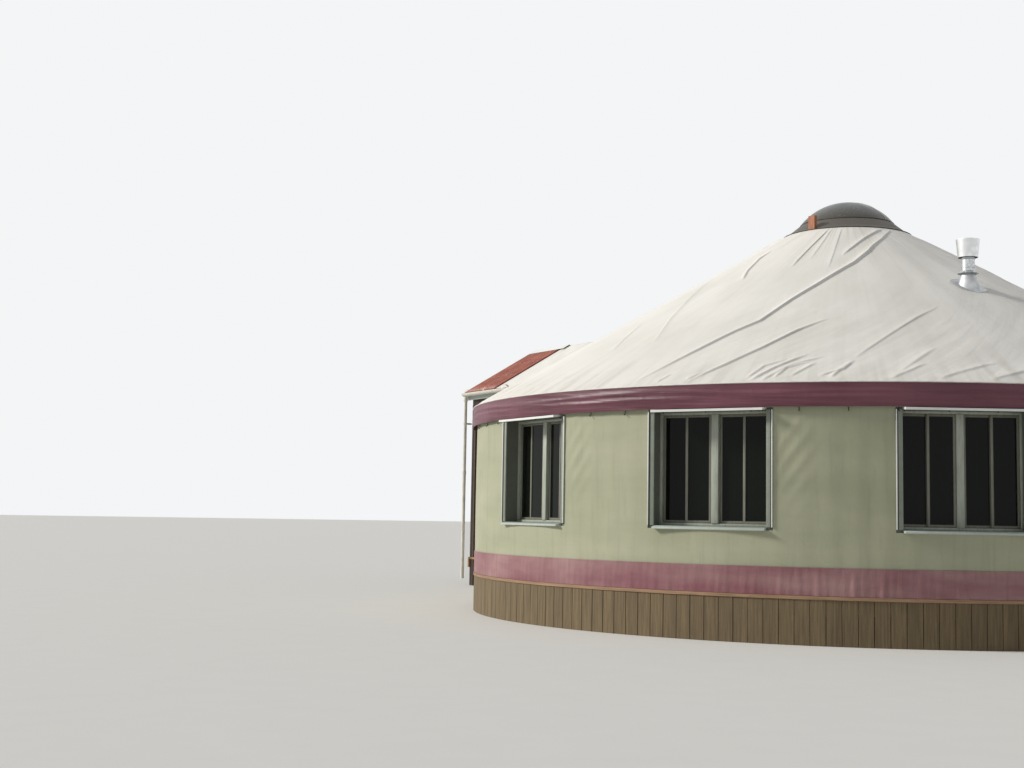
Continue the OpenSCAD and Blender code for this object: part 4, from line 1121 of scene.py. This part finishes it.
# %% Lower band
def band_shape(bearing, v):
    """Radius and height of a point of the lower band: v is 0 at the hem."""
    folds = 0.005 * ripple(bearing, [(90, 1.0), (150, 0.8)], 31)
    folds = folds + 0.003 * ripple(bearing, [(260, 1.0)], 37)
    cord = 0.0035 * bump_line(v, 0.11, 0.03)
    radius = WALL_RADIUS + 0.0065 + folds * (1 - v) ** 0.6 + cord
    height = CLOTH_FOOT + 0.001 + (BAND_TOP - CLOTH_FOOT - 0.002) * v
    # The cloth of the wall stands behind it
    return np.maximum(radius, WALL_RADIUS + 0.0052), height


for name, start, end in halves("lower_band_{}_cloth", WALL_RADIUS, DOOR_HALF):
    band = round_sheet(name, 900, 14, start, end, band_shape)
    done(band, band_cloth, ["lower_band"])

# %% [markdown]
# ## Skirting
# Boards of weathered cedar stand side by side from the ground to the strip under the band. One
# board is modelled, with edges that wear has rounded, and its copies go round the platform, each a
# hair out of line, because hand-nailed boards never stand in one plane.

# %% Skirting boards
SKIRT_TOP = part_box("skirting")[1].z
SKIRT_COUNT, SKIRT_RADIUS, SKIRT_THICKNESS, SKIRT_GAP = 200, 5.0165, 0.017, 0.005
source = random.Random(4)
board_half = math.pi * SKIRT_RADIUS / SKIRT_COUNT - SKIRT_GAP / 2
board = bar((SKIRT_RADIUS, -board_half, 0.0),
            (SKIRT_RADIUS + SKIRT_THICKNESS, board_half, SKIRT_TOP), 0.003, 1)
moves = [turned(i * 360 / SKIRT_COUNT) @ Matrix.Translation((source.uniform(0.0, 0.002), 0, 0))
         for i in range(SKIRT_COUNT)]
done(join(copies(board, moves), "skirting_boards"), skirting_wood, ["skirting"],
     smooth=30)

# %% [markdown]
# ## Windows
# Each window is a sliding unit of two lights with a wide post between them, set deep in the timber
# box. The CAD units are plain frames, so here they get what catches the eye on a real one: rounded
# profiles, four sashes in two tracks, dark gaskets round the glass. One window is modelled at
# bearing 0, where outwards is +X, and its copies are turned to the six openings.

# %% Window sizes
TRIM_HALF, UNIT_HALF, MULLION_HALF, STILE = 0.700, 0.640, 0.040, 0.028
TRIM_EDGE_RADIUS = 5.035
TRIM_FACE = math.sqrt(TRIM_EDGE_RADIUS ** 2 - TRIM_HALF ** 2)
TRIM_BACK = TRIM_FACE - 0.020
UNIT_BACK = TRIM_BACK - 0.215
UNIT_FRONT = UNIT_BACK + 0.060
LIGHT_FOOT, LIGHT_HEAD = SILL_Z + STILE, HEAD_Z - STILE
LIGHT_HEIGHT = LIGHT_HEAD - LIGHT_FOOT
LIGHT_WIDTH = (2 * UNIT_HALF - 2 * MULLION_HALF - 2 * STILE) / 2
SASH_WIDTH = (LIGHT_WIDTH + STILE) / 2
print("light", round(LIGHT_WIDTH, 3), "by", round(LIGHT_HEIGHT, 3), "sash", round(SASH_WIDTH, 3))


def at_windows(parts, name, material, replaces=()):
    """One window's parts joined, copied to the six openings and finished as one piece."""
    turns = [turned(bearing) for bearing in WINDOW_BEARINGS]
    return done(join(copies(join(parts, name), turns), name), material, replaces, smooth=40)


# %% Window frame
parts = [bar((UNIT_BACK, left, foot), (UNIT_FRONT, right, head), 0.004)
         for left, right, foot, head in ((-UNIT_HALF, UNIT_HALF, SILL_Z, LIGHT_FOOT),
                                         (-UNIT_HALF, UNIT_HALF, LIGHT_HEAD, HEAD_Z),
                                         (-UNIT_HALF, STILE - UNIT_HALF, LIGHT_FOOT, LIGHT_HEAD),
                                         (UNIT_HALF - STILE, UNIT_HALF, LIGHT_FOOT, LIGHT_HEAD))]
mullion = bar((UNIT_BACK, -MULLION_HALF, LIGHT_FOOT),
              (UNIT_FRONT + 0.010, MULLION_HALF, LIGHT_HEAD), 0.006, 3)
at_windows(parts + [mullion], "window_frames", frame_vinyl, ["window_sashes"])

# %% [markdown]
# A sash is a flat frame. It starts as a plane whose inset leaves a rim, the middle is deleted, the
# rim is thickened to the profile's depth, and its edges are bevelled. A gasket is made in the same
# way.


# %% Rims
def rim(x, depth, left, width, foot, height, border, rounding):
    """An upright rectangular rim that faces outwards, of that border and depth."""
    deselect()
    bpy.ops.mesh.primitive_plane_add(size=1, location=(x, left + width / 2, foot + height / 2),
                                     rotation=(0, math.pi / 2, 0))
    piece = bpy.context.object
    piece.scale = (height, width, 1)
    bake_place(piece)
    pick_faces(piece, [True])
    bpy.ops.mesh.inset(thickness=border)
    bpy.ops.mesh.delete(type="FACE")
    object_mode()
    modify(piece, "SOLIDIFY", thickness=depth, offset=0)
    bevel(piece, rounding)
    return piece


sashes, gaskets = [], []
INNER_TRACK, OUTER_TRACK, GASKET_GAP = UNIT_BACK + 0.015, UNIT_BACK + 0.045, 0.0005
for left in (-UNIT_HALF + STILE, MULLION_HALF):
    for track, start in ((INNER_TRACK, left), (OUTER_TRACK, left + LIGHT_WIDTH - SASH_WIDTH)):
        sashes.append(rim(track, 0.026, start, SASH_WIDTH, LIGHT_FOOT, LIGHT_HEIGHT, STILE, 0.003))
        gaskets.append(rim(track + 0.006, 0.005, start + STILE + GASKET_GAP,
                           SASH_WIDTH - 2 * STILE - 2 * GASKET_GAP, LIGHT_FOOT + STILE + GASKET_GAP,
                           LIGHT_HEIGHT - 2 * STILE - 2 * GASKET_GAP, 0.005, 0.001))
at_windows(sashes, "window_sash_frames", sash_vinyl, ["window_sashes"])
at_windows(gaskets, "window_gaskets", rubber)

# %% [markdown]
# Painted boards cover the timber beside each window, over the cloth's edge, and a ledge below the
# window sheds rain. On the outer edge of each board a bright bead clamps the cloth, and beside it a
# thin dark strip is painted shadow, the shade line between bead and board. The boards are plain
# bars with rounded edges, and the ledge is a box whose front face is moved down and made thinner.


# %% Window boards
def pair(middle, half, back, front, top, rounding):
    """Two upright bars, one at each side of the window."""
    return [bar((back, side * middle - half, SILL_Z), (front, side * middle + half, top), rounding)
            for side in (-1, 1)]


boards = pair(0.665, 0.035, TRIM_BACK, TRIM_FACE, HEAD_Z - 0.001, 0.004)
at_windows(boards, "window_boards", jamb_paint, ["window_trim"])

# %% Window ledges
LEDGE_DEPTH, LEDGE_WIDTH, LEDGE_HEIGHT = 0.080, 1.259, 0.030
LEDGE_FALL, LEDGE_FRONT_SHARE = 0.011, 0.7
ledge = block((TRIM_BACK + LEDGE_DEPTH / 2, 0, SILL_Z - LEDGE_HEIGHT / 2),
              (LEDGE_DEPTH, LEDGE_WIDTH, LEDGE_HEIGHT))
pick_side(ledge, 0)
bpy.ops.transform.translate(value=(0, 0, -LEDGE_FALL))
bpy.ops.transform.resize(value=(1, 1, LEDGE_FRONT_SHARE))
bevel(ledge, 0.003)
at_windows([ledge], "window_ledges", pale_paint, ["window_trim"])

# %% Beads and painted shadow strips beside the boards
OVER_BOARD = TRIM_FACE + 0.0004
beads = pair(0.696, 0.006, OVER_BOARD, OVER_BOARD + 0.012, HEAD_Z, 0.003)
at_windows(beads, "window_beads", cap_enamel)
# A thin dark strip laid on each board beside its bead is painted shadow, not a real gap
painted_shadow_strips = pair(0.683, 0.006, OVER_BOARD, OVER_BOARD + 0.003, HEAD_Z, 0.001)
at_windows(painted_shadow_strips, "window_painted_shadow_strips", rubber)

# %% [markdown]
# The cap over a window is a folded sheet: a thin slope that sheds rain and a lip at its front. It
# is a box with its front lowered, and its underside is inset and pushed up, so that a bright line
# with a dark hollow below it shows from below.

# %% Window caps
CAP_DEPTH, CAP_WIDTH, CAP_HEIGHT = 0.130, 1.258, 0.025
CAP_FALL, CAP_RIM, CAP_HOLLOW = 0.0145, 0.0025, 0.0215
cap = block((TRIM_BACK + CAP_DEPTH / 2, 0, HEAD_Z + 0.001 + CAP_HEIGHT / 2),
            (CAP_DEPTH, CAP_WIDTH, CAP_HEIGHT))
pick_side(cap, 0)
bpy.ops.transform.translate(value=(0, 0, -CAP_FALL))
object_mode()
pick_side(cap, 2, -1)
bpy.ops.mesh.inset(thickness=CAP_RIM)
bpy.ops.mesh.extrude_region_move(TRANSFORM_OT_translate={"value": (0, 0, CAP_HOLLOW)})
bevel(cap, 0.0006, 1)
at_windows([cap], "window_cap_sheets", cap_enamel, ["window_caps"])

# %% [markdown]
# ## Skylight and pipe fittings
# Screws hold the bubble under its clamp, and a bead of sealant closes the curb's apron. The pipe's
# storm collar sheds rain over the flashing, and its joints have rolled bands. These small parts
# tell how big the rest is. A screw is a low cylinder whose top is inset and drawn up.


# %% Screw
def hex_screw(radius, height):
    """A screw head with its washer, standing up at the origin."""
    deselect()
    bpy.ops.mesh.primitive_cylinder_add(vertices=12, radius=radius, depth=height * 0.3,
                                        location=(0, 0, height * 0.15))
    screw = bpy.context.object
    bake_place(screw)
    pick_side(screw, 2)
    bpy.ops.mesh.inset(thickness=radius * 0.42)
    bpy.ops.mesh.extrude_region_move(TRANSFORM_OT_translate={"value": (0, 0, height * 0.7)})
    object_mode()
    return screw


CLAMP_TOP, CLAMP_MIDDLE, CLAMP_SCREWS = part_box("dome_clamp")[1].z, 0.627, 24
moves = [turned(i * 360 / CLAMP_SCREWS + 5) @ Matrix.Translation((CLAMP_MIDDLE, 0, CLAMP_TOP))
         for i in range(CLAMP_SCREWS)]
done(join(copies(hex_screw(0.007, 0.006), moves), "dome_screws"), clamp_metal, smooth=30)

# %% [markdown]
# The bubble is one sheet of smoked acrylic, heated and blown. Blown freely it takes the shape of
# part of a ball, and where the frame held it, it turns down in a tight shoulder. So its crown is a
# ball cut off at the shoulder, and shoulder and flange are the cut edge extruded ring by ring. A
# turned profile would do too, but this way the crown's facets stay small and its reflections
# smooth.

# %% Bubble
SHOULDER_X, SHOULDER_Z, SHOULDER_RADIUS = 0.555, 5.3007, 0.060
SHOULDER_ANGLE = math.radians(40.65)
CROWN_Z, CROWN_RADIUS = 4.8242, 0.7915
FLANGE_INSIDE, FLANGE_OUTSIDE, FLANGE_TOP = 0.615, 0.635, 5.2907
SKIN = 0.006
ring = (CROWN_RADIUS * math.cos(SHOULDER_ANGLE), CROWN_Z + CROWN_RADIUS * math.sin(SHOULDER_ANGLE))
deselect()
bpy.ops.mesh.primitive_uv_sphere_add(segments=128, ring_count=128, radius=CROWN_RADIUS,
                                     location=(0, 0, CROWN_Z))
bubble = named("bubble")
bake_place(bubble)
edit_all(bubble)
bpy.ops.mesh.bisect(plane_co=(0, 0, ring[1]), plane_no=(0, 0, 1), clear_inner=True)
steps = [SHOULDER_ANGLE * (1 - i / 8) for i in range(1, 9)]
rings = [(SHOULDER_X + SHOULDER_RADIUS * math.cos(a), SHOULDER_Z + SHOULDER_RADIUS * math.sin(a))
         for a in steps]
for new_ring in rings + [(FLANGE_INSIDE, FLANGE_TOP), (FLANGE_OUTSIDE, FLANGE_TOP)]:
    down = (0, 0, new_ring[1] - ring[1])
    bpy.ops.mesh.extrude_region_move(TRANSFORM_OT_translate={"value": down})
    wider = new_ring[0] / ring[0]
    bpy.ops.transform.resize(value=(wider, wider, 1))
    ring = new_ring
face_outward(bubble)
modify(bubble, "SOLIDIFY", thickness=SKIN, offset=-1)
done(bubble, smoked_dome_painted_reflection, ["dome"], smooth=50)

# %% [markdown]
# A pale woven strap crosses the bubble and holds it down in wind. It could be a curve with a
# profile, but a strap is flat and lies on the bubble, so it is a narrow grid primitive laid along
# the bubble's own line, a round shoulder and then the flatter crown, and thickened to its weave.

# %% Strap over the bubble
STRAP_LIFT, STRAP_WIDTH, STRAP_BEARING = 0.0045, 0.014, 102
strap, u, v = grid("dome_strap", 90, 2)
# The share of each half that is shoulder is its share of the length
shoulder_length = SHOULDER_ANGLE * SHOULDER_RADIUS
crown_length = (math.pi / 2 - SHOULDER_ANGLE) * CROWN_RADIUS
walked = np.abs(2 * u - 1) * (shoulder_length + crown_length)
on_crown = walked < crown_length
angle = np.where(on_crown, math.pi / 2 - walked / CROWN_RADIUS,
                 SHOULDER_ANGLE - (walked - crown_length) / SHOULDER_RADIUS)
arm = np.where(on_crown, CROWN_RADIUS, SHOULDER_RADIUS) + STRAP_LIFT
reach = (np.where(on_crown, 0, SHOULDER_X) + arm * np.cos(angle)) * np.sign(2 * u - 1)
height = np.where(on_crown, CROWN_Z, SHOULDER_Z) + arm * np.sin(angle)
set_points(strap.data, np.stack([reach, (v - 0.5) * STRAP_WIDTH, height], axis=1))
strap.data.transform(turned(STRAP_BEARING))
modify(strap, "SOLIDIFY", thickness=0.006, offset=0)
bevel(strap, 0.002)
done(strap, pale_strap, ["dome_tie"], smooth=50)

# %% Apron bead
APRON_RADIUS = 0.860
sealant = thin_ring("curb_sealant", APRON_RADIUS + 0.002, 0.007, 120,
                    (0, 0, roof_height(APRON_RADIUS) + 0.005))
wobble = get_points(sealant.data)
way_round = np.degrees(np.arctan2(wobble[:, 1], wobble[:, 0]))
wobble[:, 2] += 0.0015 * ripple(way_round, [(30, 1.0)], 17)
set_points(sealant.data, wobble)
done(sealant, rubber, smooth=60)

# %% Pipe fittings
PIPE_ROOF_Z = roof_height(PIPE_RADIUS)
TUBE_RADIUS = 0.0785
deselect()
bpy.ops.mesh.primitive_cone_add(vertices=64, radius1=0.122, radius2=TUBE_RADIUS, depth=0.034,
                                end_fill_type="NOTHING", location=(*PIPE, PIPE_ROOF_Z + 0.162))
collar = bpy.context.object
bake_place(collar)
modify(collar, "SOLIDIFY", thickness=0.002, offset=1)
rings = [collar] + [thin_ring("band", TUBE_RADIUS, 0.004, 64, (*PIPE, PIPE_ROOF_Z + height))
                    for height in (0.215, 0.318)]
seam_turn = Matrix.Translation((*PIPE, 0)) @ turned(20)
seam = bar((TUBE_RADIUS - 0.002, -0.004, PIPE_ROOF_Z + 0.18),
           (TUBE_RADIUS + 0.0005, 0.004, PIPE_ROOF_Z + 0.40), 0.0008, 1)
done(join(rings + copies(seam, [seam_turn]), "pipe_bands"), galvanised, smooth=40)

# %% [markdown]
# ## Corrugated porch roof
# Two corrugated sheets a side lie side by side, with their edges lapped. A sheet is a grid
# primitive moved into waves, thickened, and laid in the slope. Screws with washers hold it on its
# crests, where the least rain runs.

# %% Porch slope
PORCH_HALF, PORCH_PITCH = 1.465, math.radians(30.5)
FLOOR_Z, RIDGE_OVER_FLOOR = 0.540, 3.780
RIDGE_Z = FLOOR_Z + RIDGE_OVER_FLOOR
METAL_LENGTH, METAL_START, WAVE_HEIGHT = 1.050, 0.012, 0.018
SLOPE_LENGTH = PORCH_HALF / math.cos(PORCH_PITCH)


def in_slope(side, down, along, out):
    """A point of the porch roof: down the slope, along Y, and out from its plane, as arrays."""
    x = down * math.cos(PORCH_PITCH) + out * math.sin(PORCH_PITCH)
    z = RIDGE_Z - down * math.sin(PORCH_PITCH) + out * math.cos(PORCH_PITCH)
    return np.stack([side * x, along + 0 * x, z], axis=1)


def slope_grid(name, side, columns, rows, place):
    """A grid laid in the porch roof's slope. place(u, v) gives down, along and out."""
    piece, u, v = grid(name, columns, rows)
    set_points(piece.data, in_slope(side, *place(u, v)))
    looks_down = sum(polygon.normal.z for polygon in piece.data.polygons) < 0
    edit_all(piece)
    bpy.ops.mesh.normals_make_consistent(inside=False)
    if looks_down:
        bpy.ops.mesh.flip_normals()
    object_mode()
    return piece


print("slope length", round(SLOPE_LENGTH, 3))


# %% Corrugated sheets
def waves(first, last, lift):
    """The shape of a sheet between two distances from the porch's outer end."""
    def place(u, v):
        along = first + (last - first) * u
        height = WAVE_HEIGHT / 2 * np.cos(2 * math.pi * along / WAVE_PITCH)
        down = METAL_START + (SLOPE_LENGTH - METAL_START) * v
        return down, -PORCH_REACH + along, -0.002 + height + lift
    return place


SECOND_START, FIRST_END, SHEET_STEEL = 0.520, 0.530, 0.0012
metal = [slope_grid("sheet", side, 112, 6, waves(*sheet)) for side in (-1, 1)
         for sheet in ((0.0, FIRST_END, 0.0), (SECOND_START, METAL_LENGTH, SHEET_STEEL))]
corrugated = join(metal, "porch_corrugated_sheets")
modify(corrugated, "SOLIDIFY", thickness=SHEET_STEEL, offset=0)
done(corrugated, red_sheet_painted_light, ["porch_roofing"])

# %% Roofing screws
SCREW_ROWS, CREST_TOP = (0.20, 0.62, 1.15, 1.62), 0.0085
moves = []
for side in (-1, 1):
    for down in SCREW_ROWS:
        for wave_number in range(1, 14, 2):
            place = in_slope(side, np.array([down]),
                             np.array([-PORCH_REACH + wave_number * WAVE_PITCH]),
                             np.array([CREST_TOP]))[0]
            moves.append(Matrix.Translation(place) @ Matrix.Rotation(side * PORCH_PITCH, 4, "Y"))
done(join(copies(hex_screw(0.010, 0.007), moves), "porch_roof_screws"), galvanised,
     smooth=30)

# %% [markdown]
# ## Porch membrane
# White canvas covers the porch roof from the corrugated sheets back to the cone, and laps onto it.
# Each half is a grid whose back edge follows the line where the two roofs meet.

# %% Porch membrane
# The sheets' troughs reach 11.6 mm down and the boards lie 19.6 mm down from the sheets' middle, so
# the membrane lies between them
MEMBRANE_OUT, MEMBRANE_LOWEST = -0.0135, -0.0180
MEMBRANE_START, MEMBRANE_RUN, MEMBRANE_DEPTH = 0.004, 1.672, 0.012
METAL_LAP, CONE_LAP = 0.06, 0.03


def meeting_line(down):
    """Y at which a line along the porch roof, so far down its slope, meets the cone."""
    x = down * math.cos(PORCH_PITCH)
    z = RIDGE_Z - down * math.sin(PORCH_PITCH) - MEMBRANE_DEPTH
    radius = EAVE_RADIUS - (z - EAVE_Z) / math.tan(ROOF_PITCH)
    return -np.sqrt(np.maximum(radius ** 2 - x ** 2, 0.05))


def membrane_shape(u, v):
    """Down, along and out for a point of the membrane: u goes back to the cone."""
    down = MEMBRANE_START + MEMBRANE_RUN * v
    front, back = -PORCH_REACH + METAL_LENGTH - METAL_LAP, meeting_line(down) + CONE_LAP
    along = front + (back - front) * u
    folds = 0.0045 * np.sin(along * 2.1 + down * 5.0)
    folds = folds + 0.003 * np.sin(along * 7.3 - down * 9.0 + 1.0)
    sag = -0.006 * np.sin(u * math.pi) * np.sin(np.clip(down / 1.7, 0, 1) * math.pi)
    edge = np.clip(np.minimum(v, 1 - v) * 14, 0, 1)
    # Pressed flat where the sheets lie on it
    free = np.clip((along - front - 0.08) / 0.25, 0, 1)
    out = MEMBRANE_OUT + (0.0015 + folds + sag) * edge * free
    return down, along, np.maximum(out, MEMBRANE_LOWEST)


for side, name in ((-1, "porch_membrane_west_cloth"), (1, "porch_membrane_east_cloth")):
    membrane = slope_grid(name, side, 120, 40, membrane_shape)
    done(membrane, porch_cloth, ["porch_membrane"])

# %% [markdown]
# ## Gutters and porch floor
# Straps hold each gutter, and a coupling joins its two lengths. A strap is a small bar whose lower
# face is spun half a turn round the gutter's axis. The floor is one board copied across the porch,
# and a boolean cuts the boards to the round skirting and the posts, as a saw would.

# %% Gutter straps
GUTTER_X, GUTTER_Z, GUTTER_RADIUS = 1.486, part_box("porch_gutters")[1].z, 0.060
STRAP = (0.022, 0.0008)
COUPLING = (0.070, 0.0004)
straps = []
for y, (width, gap) in ((-8.15, STRAP), (-7.45, STRAP), (-6.77, COUPLING), (-6.1, STRAP),
                        (-5.4, STRAP)):
    inside = GUTTER_X + GUTTER_RADIUS + gap
    strap = bar((inside, y - width / 2, GUTTER_Z - 0.004),
                (inside + 0.0025, y + width / 2, GUTTER_Z + 0.003), 0.0005, 1)
    pick_side(strap, 2, -1)
    bpy.ops.mesh.spin(steps=16, angle=math.radians(174), center=(GUTTER_X, y, GUTTER_Z),
                      axis=(0, 1, 0))
    object_mode()
    straps.append(strap)
both_sides = [Matrix(), Matrix.Scale(-1, 4, (1, 0, 0))]
gutter_straps = join(copies(join(straps, "gutter_straps"), both_sides), "gutter_straps")
weld(gutter_straps, 0.0001)
face_outward(gutter_straps)
done(gutter_straps, gutter_vinyl, smooth=40)

# %% Porch floor boards
deck_low, deck_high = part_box("porch_deck")
BOARD_WIDTH, BOARD_STEP = 0.138, 0.144
count = math.ceil((deck_high.y - deck_low.y) / BOARD_STEP)
board = bar(deck_low, (deck_high.x, deck_low.y + BOARD_WIDTH, deck_high.z), 0.004)
moves = [Matrix.Translation((0, i * BOARD_STEP, 0)) for i in range(count)]
floor_boards = join(copies(board, moves), "porch_floor_boards")
print("boards", count)

# %% Cuts in the porch floor
POST, SAW_GAP = 0.120, 0.002
deselect()
bpy.ops.mesh.primitive_cylinder_add(vertices=256, radius=WALL_RADIUS + 0.031, depth=2,
                                    location=(0, 0, 0.5))
cutters = [bpy.context.object]
bake_place(cutters[0])
post_low, post_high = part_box("porch_posts")
for x in (post_low.x, post_high.x - POST):
    for y in (post_low.y, post_high.y - POST):
        cutters.append(bar((x - SAW_GAP, y - SAW_GAP, 0.1),
                           (x + POST + SAW_GAP, y + POST + SAW_GAP, 1.5), 0.001, 1))
for cutter in cutters:
    modify(floor_boards, "BOOLEAN", operation="DIFFERENCE", object=cutter, solver="EXACT")
    bpy.data.objects.remove(cutter)
done(floor_boards, deck_pine, ["porch_deck"], smooth=40)

# %% [markdown]
# ## Stage
# A plain pale floor and a soft light. The key light is a wide sun, low on the left of the camera,
# so that the left of the house is lit and the right is in its own shade, and a pale world fills the
# rest. Camera, glossy and transmission rays see a plain near-white background.


# %% Floor
def floor_paint(tree):
    """Matt pale paint, barely uneven, so that nothing on the floor draws the eye."""
    place = add(tree, "TexCoord", out="Object")
    speckle = add(tree, "TexNoise", {"Vector": place, "Scale": 2.5, "Detail": 2.0})
    colour = laid_over(tree, speckle, 0.3, 0.7, "#DEDDD9", "#D8D7D3", 0.3)
    return {"Base Color": colour, "Roughness": 0.9}


deselect()
bpy.ops.mesh.primitive_plane_add(size=400, location=(0, 0, 0))
floor = named("floor")
floor.data.materials.append(new_material("studio_floor", floor_paint))
print("floor made")

# %% World
world = bpy.data.worlds.new("studio")
bpy.context.scene.world = world
world.use_nodes = True
tree = world.node_tree
tree.nodes.clear()
rays = add(tree, "LightPath").node.outputs
seen = add(tree, "Math", {0: rays["Is Camera Ray"], 1: rays["Is Glossy Ray"]}, operation="MAXIMUM")
seen = add(tree, "Math", {0: seen, 1: rays["Is Transmission Ray"]}, operation="MAXIMUM")
plain = add(tree, "Background", {"Color": linear("#F4F5F6"), "Strength": 1.0})
fill = add(tree, "Background", {"Color": linear("#EEF2F8"), "Strength": 0.34})
add(tree, "OutputWorld", {"Surface": add(tree, "MixShader", {0: seen, 1: fill, 2: plain})})
print("world made")

# %% Lamp
sun_data = bpy.data.lights.new("key", "SUN")
sun_data.energy = 3.0
sun_data.angle = math.radians(12)
sun_data.color = (1.0, 0.97, 0.92)
sun = bpy.data.objects.new("key", sun_data)
to_sun = look(math.radians(-34), math.radians(30))
sun.rotation_euler = to_sun.to_track_quat("Z", "Y").to_euler()
bpy.context.scene.collection.objects.link(sun)
bpy.context.scene.view_settings.view_transform = "Standard"
print("lamp made")
